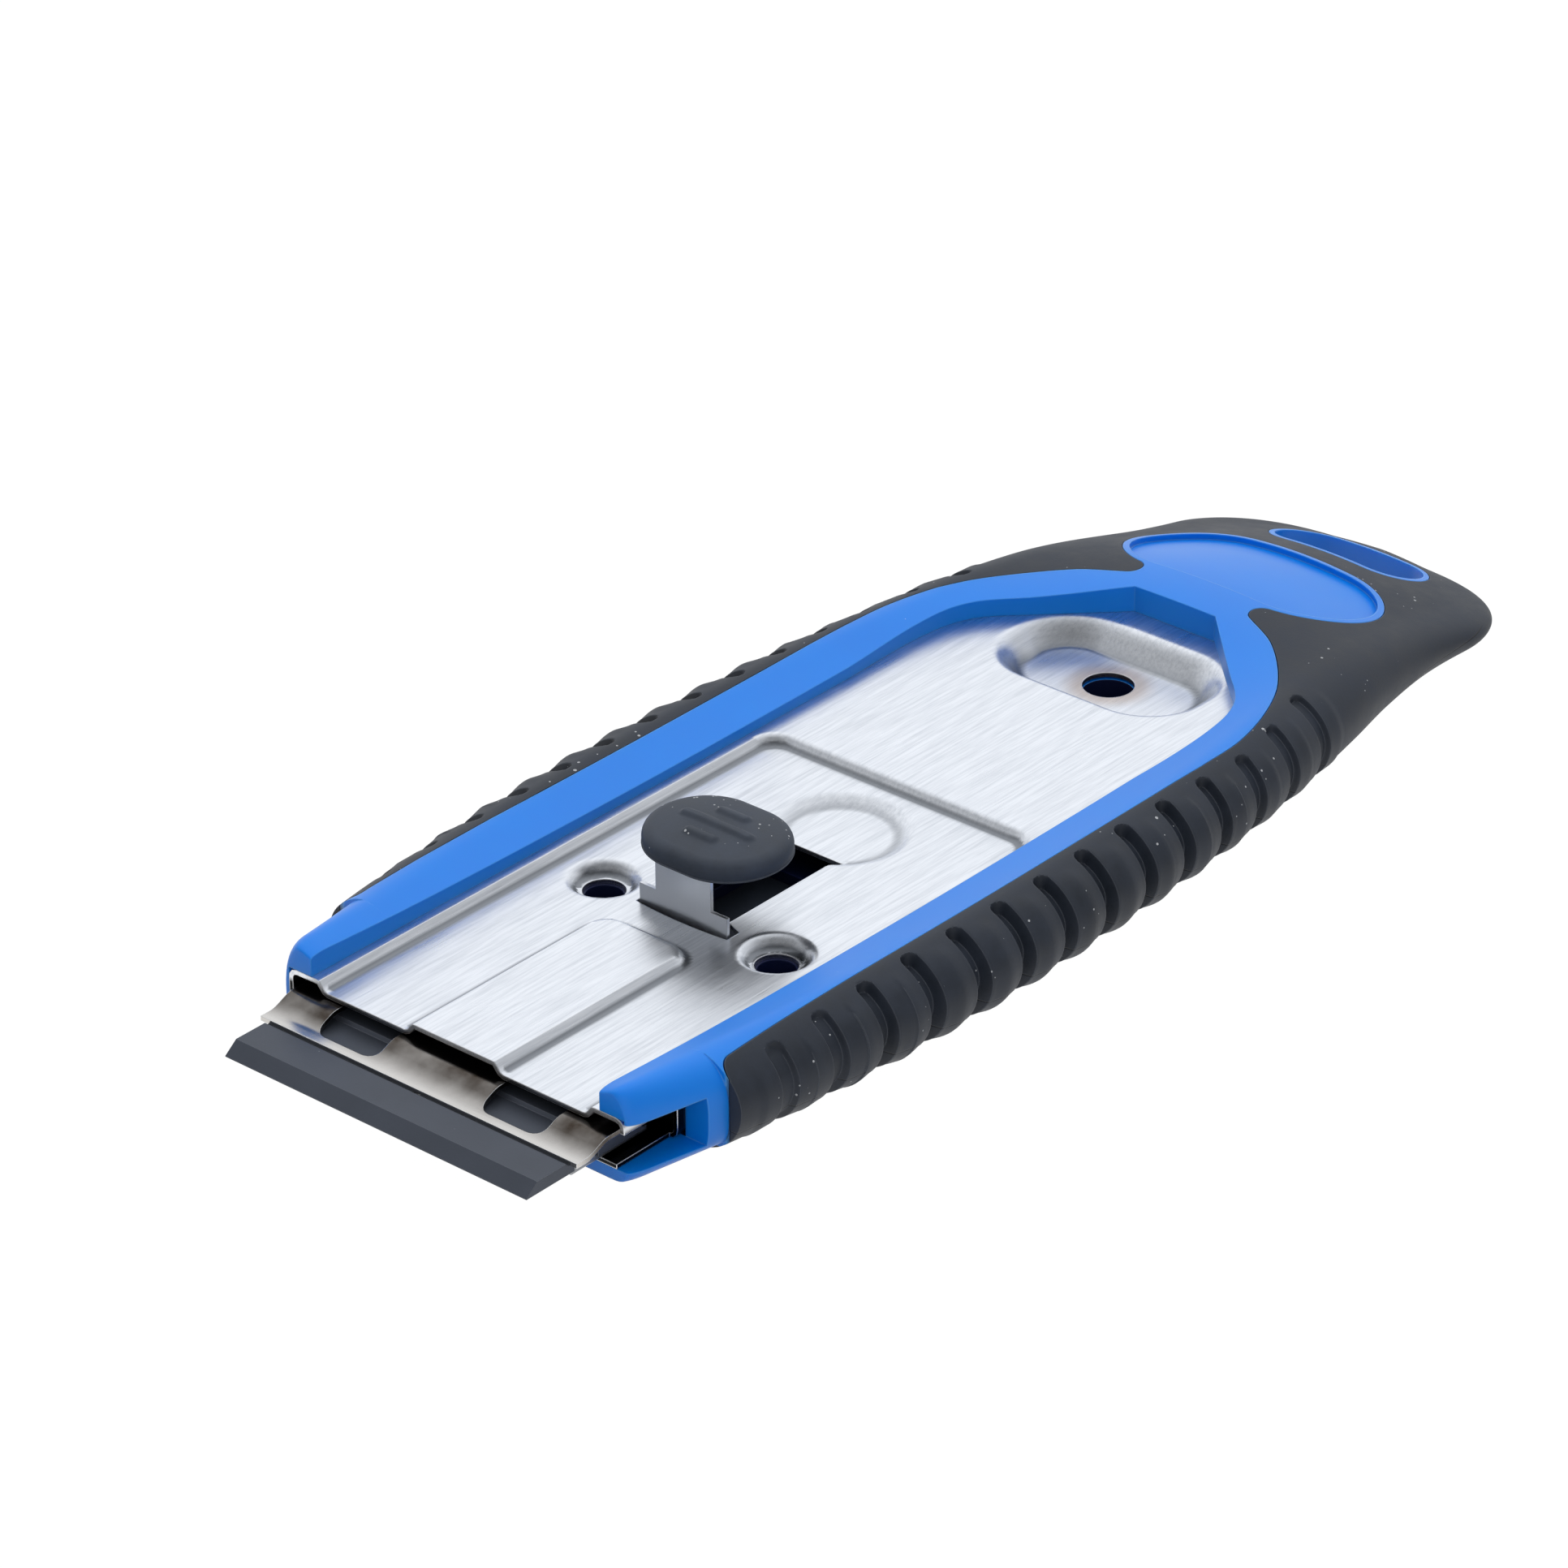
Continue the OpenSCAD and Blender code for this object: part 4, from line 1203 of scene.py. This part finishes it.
@dataclass(frozen=True)
class Core:
    """The blue moulded core: frame, nose, thumb pad and the slot's lining."""

    nose_wall: float = 0.9
    cheek_wall: float = 3.4
    nose_reach: float = 2.4
    cheek_reach: float = 4.4
    nose_powers: tuple[float, float] = (0.9, 0.5)
    beak_r: float = 2.2
    beak_drop: float = 0.5
    beak_in: float = 0.5
    beak_z: float = -2.0  # the beak is rounded above this height
    beak_sections: tuple[int, float] = (14, 0.35)  # with the share of the nose they take
    cheek_sections: tuple[int, float] = (12, 0.4)  # with the share of the nose they start at
    nose_across: tuple[int, int, int] = (14, 26, 6)
    sections: int = 190
    across: tuple[int, int, int] = (30, 22, 5)
    plate_lap: float = 1.2
    seat_z: float = -3.2
    window_z: float = -0.25
    pocket_len: float = 8.3
    pocket_roof: float = 0.4
    pocket_corner: tuple[float, float] = (3.4, 2.1)  # its middle beside the sheath, its radius
    pocket_room: tuple[float, float] = (9.0, 2.0)  # past the nose's side and behind the pocket
    pad_sink: float = 0.7
    pad_sections: int = 24
    relief: tuple[float, float, float] = (6.6, 14.0, -7.8)  # half width, start and floor
    boss: tuple[float, float, float] = (3.0, 1.9, -2.83)  # radius, bore's radius and top
    shade_z: float = -0.6  # faces below this height lie in the dark
    slack: float = 0.06

    def nose_rows(self) -> np.ndarray:
        """Sections of the bare nose in front of the overmould, with a rounded beak."""
        (near, near_share), (far, far_share) = self.beak_sections, self.cheek_sections
        share = np.r_[np.linspace(0, 1, near) ** 2 * near_share, np.linspace(far_share, 1, far)]
        y = share * OUTLINES.grip_front
        bow = np.clip(1 - y / self.beak_r, 0, 1)
        inset = 1 - np.sqrt(1 - bow**2)
        half = (OUTLINES.sheath_half + self.nose_wall
                + (self.cheek_wall - self.nose_wall) * share)
        reach = self.nose_reach + (self.cheek_reach - self.nose_reach) * share
        rows = SURFACE.rows(y, self.nose_across, False, half - self.beak_in * inset, reach,
                            OUTLINES.core_z, self.nose_powers)
        top = rows[:, :, 2] > self.beak_z
        rows[:, :, 2] -= np.where(top, inset[:, None] * self.beak_drop, 0)
        return rows

    def build(self) -> bpy.types.Object:
        """Builds the core and puts it on the handle.

        Returns:
            The finished piece.
        """
        low, high = OUTLINES.core_z, OUTLINES.high
        places = np.linspace(OUTLINES.grip_front, SURFACE.handle_len - SURFACE.tail_steps[-1],
                             self.sections)
        core = Bench.loft("blue_core", SURFACE.grip_rows(places, self.across, False))
        space = Bench.block("frame_space", OUTLINES.frame_edge(0), low, high)
        for name, outline in (("neck_space", OUTLINES.neck()), ("pad_space", OUTLINES.pad()),
                              ("lining_space", OUTLINES.slot(OUTLINES.lining_t))):
            Bench.combine(space, Join.ADD, Bench.block(name, outline, low, high))
        Bench.combine(core, Join.KEEP, space)
        Bench.combine(core, Join.ADD, Bench.loft("nose", self.nose_rows()))
        Bench.combine(core, Join.CUT, *self.cuts())
        outer, inner, boss_z = self.boss
        for side in (-1, 1):
            x, y = side * OUTLINES.cup[0], OUTLINES.cup[1]
            boss = Bench.block("boss", ring(x, y, outer), low, boss_z)
            Bench.combine(core, Join.ADD, boss)
            bore = Bench.block("bore", ring(x, y, inner), low + OUTLINES.over, high)
            Bench.combine(core, Join.CUT, bore)
        Bench.dress(core, BLUE, 40)
        # The faces deep inside take the dark blue finish: painted shade.
        Bench.line(core, SHADED, self.deep_inside(Bench.centres(core)))
        Bench.settle(core, "handle", "core_plastic", "handle_core")
        return core

    def deep_inside(self, at: np.ndarray) -> np.ndarray:
        """Finds the faces in the channel, the latch's well and the bores, for the painted shade.

        Args:
            at: The middle of each face.

        Returns:
            For each face, whether it lies there.
        """
        x, y, z = np.abs(at[:, 0]), at[:, 1], at[:, 2]
        half, y0, _ = self.relief
        slack = self.slack
        channel = ((x < OUTLINES.sheath_half - OUTLINES.over) & (y > slack)
                   & (y < OUTLINES.channel_len) & (z > -OUTLINES.channel_drop - slack))
        well = (x < half + slack) & (y > y0 - slack) & (y < OUTLINES.latch_end + slack)
        bore = np.hypot(x - OUTLINES.cup[0], y - OUTLINES.cup[1]) < self.boss[1] + slack
        rear = np.hypot(x, y - OUTLINES.rear_y) < OUTLINES.rear_hole_r + slack
        sunk = (well | bore | rear) & (z > OUTLINES.core_z + slack)
        return (channel | sunk) & (z < self.shade_z)

    def cuts(self) -> list[bpy.types.Object]:
        """Makes the solids that are cut out of the core.

        Returns:
            The solids, in the order that they cut.
        """
        side, over, high = OUTLINES.sheath_half, OUTLINES.over, OUTLINES.high
        drop = OUTLINES.channel_drop
        channel = Bench.block("channel", box(-side, side, -over, OUTLINES.channel_len), -drop, 0)
        seat = Bench.block("seat", OUTLINES.window_edge(OUTLINES.channel_len - over,
                                                        self.plate_lap), self.seat_z, 0)
        window = Bench.block("window", OUTLINES.window_edge(-over), self.window_z, high)
        middle, r = self.pocket_corner
        out, behind = self.pocket_room
        pocket = Bench.block(
            "pocket",
            [(side - over, -over), (side + out, -over), (side + out, self.pocket_len + behind),
             *[(side + middle + r * math.cos(a), self.pocket_len + r * math.sin(a) - r)
               for a in np.linspace(0, math.pi / 2, 8)], (side - over, self.pocket_len)],
            -drop, -self.pocket_roof)
        half, y0, z = self.relief
        relief = Bench.block("relief", box(-half, half, y0, OUTLINES.latch_end), z, 0)
        recess = Bench.block("recess", OUTLINES.pad(-OUTLINES.pad_rim), OUTLINES.core_z, high)
        room = OUTLINES.pad_r + over
        places = np.linspace(OUTLINES.pad_y - room, OUTLINES.pad_y + room, self.pad_sections)
        below = SURFACE.grip_rows(places, self.across, False) - (0, 0, self.pad_sink)
        Bench.combine(recess, Join.CUT, Bench.loft("below_pad", below))
        slot = Bench.block("slot", OUTLINES.slot(), -high, high)
        bore = Bench.block("rear_bore", ring(0, OUTLINES.rear_y, OUTLINES.rear_hole_r),
                           OUTLINES.core_z + over, high)
        return [channel, seat, window, pocket, relief, recess, slot, bore]


@dataclass(frozen=True)
class Grip:
    """The black elastomer moulded over the core, with its finger grooves."""

    across: tuple[int, int, int] = (14, 36, 4)

    def build(self) -> bpy.types.Object:
        """Builds the grip and puts it on the handle.

        Returns:
            The finished piece.
        """
        places = SURFACE.places(OUTLINES.grip_front)
        grip = Bench.loft("rubber_grip", SURFACE.grip_rows(places, self.across, True))
        seam, low, high = OUTLINES.seam, OUTLINES.core_z, OUTLINES.high
        for name, outline, foot in (
                ("core_cut", OUTLINES.frame_edge(0, seam), low),
                ("neck_cut", OUTLINES.neck(seam), low),
                ("pad_cut", OUTLINES.pad(seam), low),
                ("slot_cut", OUTLINES.slot(OUTLINES.lining_t + seam), -high)):
            Bench.combine(grip, Join.CUT, Bench.block(name, outline, foot, high))
        Bench.dress(grip, BLACK, 40)
        Bench.settle(grip, "handle", "grip_rubber", "grip_overmould")
        return grip


@dataclass(frozen=True)
class Sheath:
    """The bright steel sheath, formed from a flat blank as a press would form it."""

    steel_t: float = 0.5
    bend_r: float = 1.0
    flange_w: float = 4.2
    lap: float = 1.05
    pitch: float = 0.36  # of the mesh on the flat
    side_points: int = 17
    ahead: float = -30.0  # the trough and the panel run out of the front
    trough: tuple[float, float, float] = (17.4, 65.1, 1.0)  # half width, end and depth
    press_r: float = 3.0
    run: float = 1.1  # of the pressed slopes
    panel: tuple[float, float] = (6.15, 27.6)  # half width and end
    cup: tuple[float, float] = (3.7, 1.33)  # radius and depth
    cup_slope: tuple[float, float] = (1.3, 0.15)  # inside and outside the radius
    cup_hole: float = 2.15
    dimple: tuple[float, float, float] = (55.2, 7.6, 0.9)  # place, radius and depth
    dimple_slope: tuple[float, float] = (2.3, 0.1)
    rear_cup: tuple[float, float, float, float] = (12.6, 7.8, 7.0, 2.4)
    rear_slope: tuple[float, float] = (-0.1, 3.1)
    slot: tuple[float, float, float, float, float] = (31.72, 33.53, 5.8, 3.8, 0.8)
    bow: float = 0.35
    notch: tuple[float, float, float] = (7.2, -8.0, -1.5)  # length, foot and top
    through: tuple[float, float] = (-5.0, 3.0)  # heights that a piercing solid spans

    @staticmethod
    def inside(x: np.ndarray, y: np.ndarray, half: float, y0: float, y1: float,
               r: float) -> np.ndarray:
        """Measures how far points lie inside a rectangle with round corners.

        Args:
            x: Places across the handle.
            y: Places along the handle.
            half: The rectangle's half width.
            y0: Where it starts.
            y1: Where it ends.
            r: Its corners' radius.

        Returns:
            One distance for each point, negative outside.
        """
        mid, tall = (y0 + y1) / 2, (y1 - y0) / 2
        qx, qy = np.abs(x) - (half - r), np.abs(y - mid) - (tall - r)
        outer = np.hypot(np.maximum(qx, 0), np.maximum(qy, 0))
        return r - outer - np.minimum(np.maximum(qx, qy), 0)

    @staticmethod
    def dish(away: np.ndarray, r: float, deep: float, slope: tuple[float, float]) -> np.ndarray:
        """Depth of a round dish at distances from its middle, with soft slopes."""
        return deep * (1 - soft_step(r - slope[0], r + slope[1], away))

    def face(self, x: np.ndarray, y: np.ndarray) -> np.ndarray:
        """Works out the height of the pressed face.

        Args:
            x: Places across the handle.
            y: Places along the handle.

        Returns:
            One height for each point: 0 on the flat and negative where it is sunk.
        """
        half, step_y, deep = self.trough
        sunk = soft_step(0, self.run,
                         self.inside(x, y, half, self.ahead, step_y, self.press_r))
        panel = soft_step(-self.run, 0, self.inside(x, y, self.panel[0] - self.run, self.ahead,
                                                    self.panel[1] - self.run,
                                                    self.press_r - self.run))
        z = -deep * sunk * (1 - panel)
        cup_x, cup_y = OUTLINES.cup
        z = z - self.dish(np.hypot(np.abs(x) - cup_x, y - cup_y), *self.cup, self.cup_slope)
        y0, r, deep = self.dimple
        z = z - self.dish(np.hypot(x, y - y0), r, deep, self.dimple_slope)
        wide, tall, r, deep = self.rear_cup
        y0 = OUTLINES.rear_y
        inside = self.inside(x, y, wide, y0 - tall, y0 + tall, r)
        return z - deep * soft_step(*self.rear_slope, inside)

    def bent(self, u: np.ndarray) -> tuple[np.ndarray, np.ndarray]:
        """Bends the blank's sides into the channel.

        Args:
            u: Distance from the middle along the blank, zero or more.

        Returns:
            X and Z of the formed sheet's outer face.
        """
        wall_x, r = OUTLINES.sheath_half - self.bend_r, self.bend_r
        quarter = r * math.pi / 2
        wall = OUTLINES.channel_drop - 2 * r
        a = np.clip((u - wall_x) / r, 0, math.pi / 2)
        b = np.clip((u - wall_x - quarter - wall) / r, 0, math.pi / 2)
        down = np.clip(u - wall_x - quarter, 0, wall)
        back = np.maximum(u - wall_x - 2 * quarter - wall, 0)
        x = np.minimum(u, wall_x) + r * np.sin(a) - r * (1 - np.cos(b)) - back
        z = -r * (1 - np.cos(a)) - down - r * np.sin(b)
        return x, z

    def build(self) -> bpy.types.Object:
        """Presses, bends and pierces the sheath and puts it on the handle.

        Returns:
            The finished piece.
        """
        flat = OUTLINES.sheath_half - self.bend_r
        side = self.bend_r * math.pi + OUTLINES.channel_drop - 2 * self.bend_r
        side += self.flange_w - self.bend_r
        u = np.r_[np.linspace(0, flat, int(flat / self.pitch)),
                  flat + np.linspace(0, side, self.side_points)[1:]]
        u = np.r_[-u[:0:-1], u]
        rear = OUTLINES.window_len + self.lap
        y = np.linspace(0, rear, int(rear / self.pitch))
        across, along = np.meshgrid(u, y)
        x, z = self.bent(np.abs(across))
        x = np.copysign(x, across)
        z = z + np.where(np.abs(across) <= flat, self.face(x, along), 0)
        sheet = Bench.sheet("steel_sheath", np.stack([x, along, z], 2))
        self.trim(sheet, flat)
        solid = sheet.modifiers.new("steel", "SOLIDIFY")
        solid.thickness = self.steel_t * MM
        solid.offset = -1
        Bench.apply(sheet)
        Bench.combine(sheet, Join.CUT, *self.piercings())
        Bench.dress(sheet, SHEATH, 40)
        Bench.settle(sheet, "handle", "sheath_steel", "sheath_cover")
        return sheet

    def trim(self, sheet: bpy.types.Object, flat: float) -> None:
        """Cuts the blank to its outline: no sides behind the channel, a rounded rear.

        Args:
            sheet: The bent blank.
            flat: Half the width of its flat face.
        """
        end = OUTLINES.channel_len
        edge = OUTLINES.window_edge(end, self.lap)
        right = np.array([p for p in edge if p[0] >= 0])
        right = right[np.argsort(right[:, 1])]
        gone = []
        for face in sheet.data.polygons:
            x, y, z = np.array(face.center) / MM + (0, Bench.mid_y, -Bench.rest_drop)
            limit = np.interp(y, right[:, 1], right[:, 0])
            wide = abs(x) > limit or (z < -self.bend_r and abs(x) > flat - self.flange_w)
            gone.append(bool(y > end and wide))
        Bench.drop_faces(sheet, gone)

    def piercings(self) -> list[bpy.types.Object]:
        """Makes the solids of the holes, the latch's slot and the side notch.

        Returns:
            The solids, in the order that they cut.
        """
        y0, y1, wide, narrow, corner = self.slot
        end = OUTLINES.latch_end
        arc = [(s * wide, y0 - self.bow * (1 - s * s)) for s in np.linspace(-1, 1, 9)]
        slot = [*arc, (wide, y1), (narrow, y1 + corner), (narrow, end), (-narrow, end),
                (-narrow, y1 + corner), (-wide, y1)]
        rear = ring(0, OUTLINES.rear_y, OUTLINES.rear_hole_r)
        made = [Bench.block("slot_hole", slot, *self.through),
                Bench.block("rear_hole", rear, *self.through)]
        for side in (-1, 1):
            hole = ring(side * OUTLINES.cup[0], OUTLINES.cup[1], self.cup_hole)
            made.append(Bench.block("cup_hole", hole, *self.through))
        long, foot, top = self.notch
        half, over = OUTLINES.sheath_half, OUTLINES.over
        made.append(Bench.block("side_notch", box(half - over, half + over, -over, long),
                                foot, top))
        return made


@dataclass(frozen=True)
class Carriage:
    """The jaws with their blade, studs and rivets."""

    half: float = 20.0
    steel_t: float = 0.5
    front: float = -5.1
    lip_w: float = 1.1
    rise: tuple[float, float] = (-3.9, -0.7)  # where the lip starts and stops to rise
    levels: tuple[float, float] = (-2.58, -1.63)  # heights of the lip and of the jaw
    arm_end: float = 34.0
    window: tuple[float, float, float] = (6.6, 14.2, 1.5)  # inner and outer side, radius
    wide: tuple[float, float, float] = (15.1, 1.1, 0.6)  # outer side behind, start and slope
    strap_end: float = 12.6
    rivet: tuple[float, float, float] = (3.0, 9.9, 1.0)  # place in X and Y, and radius
    points: tuple[int, int, int] = (41, 37, 30)  # across, along the lip and along the arms
    through: tuple[float, float] = (-4.0, 0.0)  # heights that a piercing solid spans

    def build(self) -> None:
        """Forms the upper jaw and dresses the other solids with their real finishes."""
        self.jaw()
        for node, finish in (("blade_carrier", PLAIN), ("blade_studs", PLAIN),
                             ("carriage_rivets", PLAIN), ("blade", OXIDE)):
            solid = frame["nodes"][node]
            solid.data.materials.clear()
            solid.data.materials.append(finish.material())
            log.info("%s: dressed", node)

    def jaw(self) -> bpy.types.Object:
        """Bends the upper jaw from sheet, pierces its windows and puts it on the carriage.

        Returns:
            The finished piece.
        """
        wide, lip, arm = self.points
        x = np.linspace(-self.half, self.half, wide)
        y = np.r_[np.linspace(self.front, 0, lip), np.linspace(0, self.arm_end, arm)[1:]]
        across, along = np.meshgrid(x, y)
        low, high = self.levels
        z = low + (high - low) * soft_step(self.rise[0], self.rise[1], along)
        sheet = Bench.sheet("upper_jaw", np.stack([across, along, z], 2))
        solid = sheet.modifiers.new("steel", "SOLIDIFY")
        solid.thickness = self.steel_t * MM
        solid.offset = -1
        Bench.apply(sheet)
        Bench.combine(sheet, Join.CUT, *self.piercings())
        Bench.dress(sheet, CLAMP, 40)
        Bench.settle(sheet, "carriage", "clamp_steel", "blade_clamp")
        return sheet

    def piercings(self) -> list[bpy.types.Object]:
        """Makes the solids of the windows, the strap's free end and the rivets' holes.

        Returns:
            The solids, in the order that they cut.
        """
        inner, outer, r = self.window
        wide, step, slope = self.wide
        front, end = self.front + self.lip_w, self.arm_end + OUTLINES.over
        turn = [math.radians(a) for a in range(0, 91, 15)]
        window = [(inner + r * (1 - math.cos(a)), front + r * (1 - math.sin(a))) for a in turn]
        window += [(outer - r * (1 - math.sin(a)), front + r * (1 - math.cos(a)))
                   for a in turn]
        window += [(outer, step), (wide, step + slope), (wide, end), (inner, end)]
        room = inner + OUTLINES.over
        made = [Bench.block("free_end", box(-room, room, self.strap_end, end), *self.through)]
        for side in (-1, 1):
            outline = [(side * x, y) for x, y in window]
            made.append(Bench.block("window", outline, *self.through))
            x, y, radius = self.rivet
            made.append(Bench.block("rivet_hole", ring(side * x, y, radius), *self.through))
        return made


@dataclass(frozen=True)
class Latch:
    """The leaf spring with its neck and the rubber button."""

    bend_from: tuple[float, float, float] = (0, 12.6, -2.3)
    bend_to: tuple[float, float, float] = (0, 31.0, -2.3)
    cuts: int = 14  # across the leaf, so that it could bend smoothly
    middle: tuple[float, float] = (37.1, 4.5)  # of the button's foot, in Y and Z
    tilt: float = 1.0
    half: float = 1.5
    profile: Table = ((4.0, 0.25), (5.0, 0.12), (5.6, 0.0), (5.95, 0.05), (6.1, 0.16),
                      (6.13, 0.24), (6.24, 0.27), (6.24, 0.33), (6.14, 0.38), (6.2, 0.7),
                      (6.2, 1.1), (6.14, 1.4), (6.0, 1.7), (5.78, 1.92), (5.5, 2.09),
                      (5.2, 2.2))
    crown: float = 2.62
    eye: float = 0.25  # radius of the dome's last ring, which a flat face closes
    rings: int = 34
    around: int = 160
    ridges: tuple[tuple[float, float], ...] = ((0.0, 3.9), (-2.4, 1.4), (2.4, 1.4))
    ridge: tuple[float, float, float] = (0.2, 0.85, 0.36)  # top's and foot's radius, height

    def build(self) -> None:
        """Builds the spring, cut across where it would bend, and the button."""
        spring = Bench.copy_of("latch_spring", "latch_leaf")
        for y in np.linspace(self.bend_from[1], self.bend_to[1], self.cuts):
            at = Bench.place(np.array([0, y, 0]))
            Bench.edit(spring, lambda at=at: bpy.ops.mesh.bisect(
                plane_co=tuple(at), plane_no=(0, 1, 0)))
        Bench.dress(spring, LATCH, 30)
        start, end = (tuple(Bench.place(np.array(p))) for p in (self.bend_from, self.bend_to))
        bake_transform(spring)
        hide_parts("latch_spring")
        log.info("latch_leaf: %d faces", len(spring.data.polygons))
        self.button()

    def button(self) -> bpy.types.Object:
        """Moulds the domed button with its flash line and ridges, and puts it on the latch.

        Returns:
            The finished piece.
        """
        edge_r, edge_z = self.profile[-1]
        dome = np.linspace(edge_r, self.eye, self.rings)[1:]
        rise = (self.crown - edge_z) * (1 - (dome / edge_r) ** 2)
        radii = np.r_[[p[0] for p in self.profile], dome]
        z = np.r_[[p[1] for p in self.profile], edge_z + rise]
        turns = np.linspace(0, 2 * math.pi, self.around + 1) + 0.5 * math.pi
        x = radii[:, None] * np.cos(turns) + np.copysign(self.half, np.cos(turns))
        y = radii[:, None] * np.sin(turns)
        z = np.broadcast_to(z[:, None], x.shape).copy()
        full, foot, high = self.ridge
        on_top = np.arange(len(radii))[:, None] >= len(self.profile) - 1
        for at, half in self.ridges:
            away = np.hypot(np.maximum(np.abs(x) - half, 0), y - at)
            z += np.where(on_top, high * (1 - soft_step(full, foot, away)), 0)
        tilt = math.radians(self.tilt)
        front = y + radii.max()
        rows = np.stack([x, self.middle[0] + y * math.cos(tilt) - z * math.sin(tilt),
                         self.middle[1] + z * math.cos(tilt) + front * math.sin(tilt)], 2)
        button = Bench.loft("thumb_button", rows)
        Bench.dress(button, BUTTON, 60)
        Bench.settle(button, "latch", "button_rubber", "latch_button")
        return button


@dataclass(frozen=True)
class Studio:
    """Camera at the photograph's angle, soft lamps and a white floor."""

    centre: tuple[float, float, float] = (0.357699, -0.434633, 0.318494)
    azimuth: float = 40.8214
    elevation: float = 29.0001
    roll: float = -0.2228
    lens: float = 149.068
    sensor: float = 36.0
    lamps: tuple[tuple[str, tuple[float, float, float], float, float], ...] = (
        ("overhead", (-0.2, 0.5, 1.7), 2.2, 27.0), ("left_fill", (-1.4, -0.4, 0.9), 1.2, 4.0),
        ("front_fill", (1.1, -0.9, 0.6), 1.4, 8.0))
    floor_r: float = 4.0
    floor_z: float = -0.0002
    floor_share: float = 0.94  # of its own white that the camera sees
    floor_white: float = 1.06
    paper: str = "#B4B4B6"
    sky: str = "#FAFCFF"
    toward: tuple[float, float, float] = (-0.5, 0.65, 0.56)  # where the room is brightest
    room: tuple[float, float] = (0.0, 0.92)  # where it starts to brighten and stops
    room_light: tuple[float, float] = (0.2, 1.14)
    soft_light: float = 0.5

    def build(self) -> None:
        """Sets up the camera, lamps, floor and surroundings."""
        data = bpy.data.cameras.new("photo_camera")
        data.lens, data.sensor_width = self.lens, self.sensor
        data.clip_end = 50
        camera = bpy.data.objects.new("photo_camera", data)
        turn = (Matrix.Rotation(math.radians(self.azimuth), 4, "Z")
                @ Matrix.Rotation(math.radians(90 - self.elevation), 4, "X")
                @ Matrix.Rotation(math.radians(self.roll), 4, "Z"))
        camera.matrix_world = Matrix.Translation(self.centre) @ turn
        bpy.context.scene.collection.objects.link(camera)
        bpy.context.scene.camera = camera
        bpy.context.scene.view_settings.view_transform = "Standard"
        for lamp in self.lamps:
            self.lamp(*lamp)
        self.floor()
        self.surroundings()

    @staticmethod
    def lamp(name: str, place: tuple[float, float, float], size: float, power: float) -> None:
        """Hangs one soft square lamp that faces the object and shows in no reflection.

        Args:
            name: The lamp's name.
            place: Where it hangs, in metres.
            size: Its side, in metres.
            power: Its power, in watts.
        """
        data = bpy.data.lights.new(name, "AREA")
        data.size, data.energy = size, power
        lamp = bpy.data.objects.new(name, data)
        turn = Vector(place).to_track_quat("Z", "Y").to_matrix().to_4x4()
        lamp.matrix_world = Matrix.Translation(place) @ turn
        lamp.visible_glossy = False
        bpy.context.scene.collection.objects.link(lamp)

    def floor(self) -> None:
        """Lays the floor: it takes the shadow, and looks white to the camera and in metal."""
        bpy.ops.object.select_all(action="DESELECT")
        bpy.ops.mesh.primitive_circle_add(vertices=64, radius=self.floor_r,
                                          fill_type="NGON", location=(0, 0, self.floor_z))
        floor = bpy.context.object
        floor.name = "floor"
        material = bpy.data.materials.new("white_paper_floor")
        material.use_nodes = True
        tree = material.node_tree
        tree.nodes.clear()
        seen = self.seen(tree, self.floor_share)
        paper = add_node(tree, "ShaderNodeBsdfDiffuse", {"Color": linear(self.paper)})
        glow = add_node(tree, "ShaderNodeEmission",
                        {"Color": linear("#FFFFFF"), "Strength": self.floor_white})
        mixed = add_node(tree, "ShaderNodeMixShader",
                         {0: seen, 1: paper.outputs[0], 2: glow.outputs[0]})
        add_node(tree, "ShaderNodeOutputMaterial", {"Surface": mixed.outputs[0]})
        floor.data.materials.append(material)

    @staticmethod
    def seen(tree: bpy.types.NodeTree, share: float) -> bpy.types.NodeSocket:
        """Gives a share to camera, glossy and transmission rays, and 0 to the rest.

        Args:
            tree: The node tree that takes the nodes.
            share: The share.

        Returns:
            The share's socket.
        """
        path = add_node(tree, "ShaderNodeLightPath").outputs
        first = add_node(tree, "ShaderNodeMath",
                         {0: path["Is Camera Ray"], 1: path["Is Glossy Ray"]},
                         operation="MAXIMUM")
        either = add_node(tree, "ShaderNodeMath",
                          {0: first.outputs[0], 1: path["Is Transmission Ray"]},
                          operation="MAXIMUM")
        return add_node(tree, "ShaderNodeMath", {0: either.outputs[0], 1: share},
                        operation="MULTIPLY").outputs[0]

    def surroundings(self) -> None:
        """Gives the world: even soft light, white behind the object, grey in front."""
        world = bpy.data.worlds.new("studio")
        bpy.context.scene.world = world
        world.use_nodes = True
        tree = world.node_tree
        tree.nodes.clear()
        way = add_node(tree, "ShaderNodeTexCoord").outputs["Generated"]
        toward = add_node(tree, "ShaderNodeVectorMath", {0: way, 1: self.toward},
                          operation="DOT_PRODUCT").outputs["Value"]
        (start, full), (low, high) = self.room, self.room_light
        room = Finish.span(tree, toward, (start, low), (full, high))
        soft = add_node(tree, "ShaderNodeBackground",
                        {"Color": linear("#FFFFFF"), "Strength": self.soft_light})
        shown = add_node(tree, "ShaderNodeBackground",
                         {"Color": linear(self.sky), "Strength": room})
        mixed = add_node(tree, "ShaderNodeMixShader",
                         {0: self.seen(tree, 1.0), 1: soft.outputs[0], 2: shown.outputs[0]})
        add_node(tree, "ShaderNodeOutputWorld", {"Surface": mixed.outputs[0]})


def main() -> None:
    """Builds every assembly and the studio, and logs the pieces' face counts."""
    logging.basicConfig(level=logging.INFO, format="%(name)s %(message)s")
    Studio().build()
    for assembly in (Core(), Grip(), Sheath(), Carriage(), Latch()):
        assembly.build()


if __name__ == "__main__":
    main()
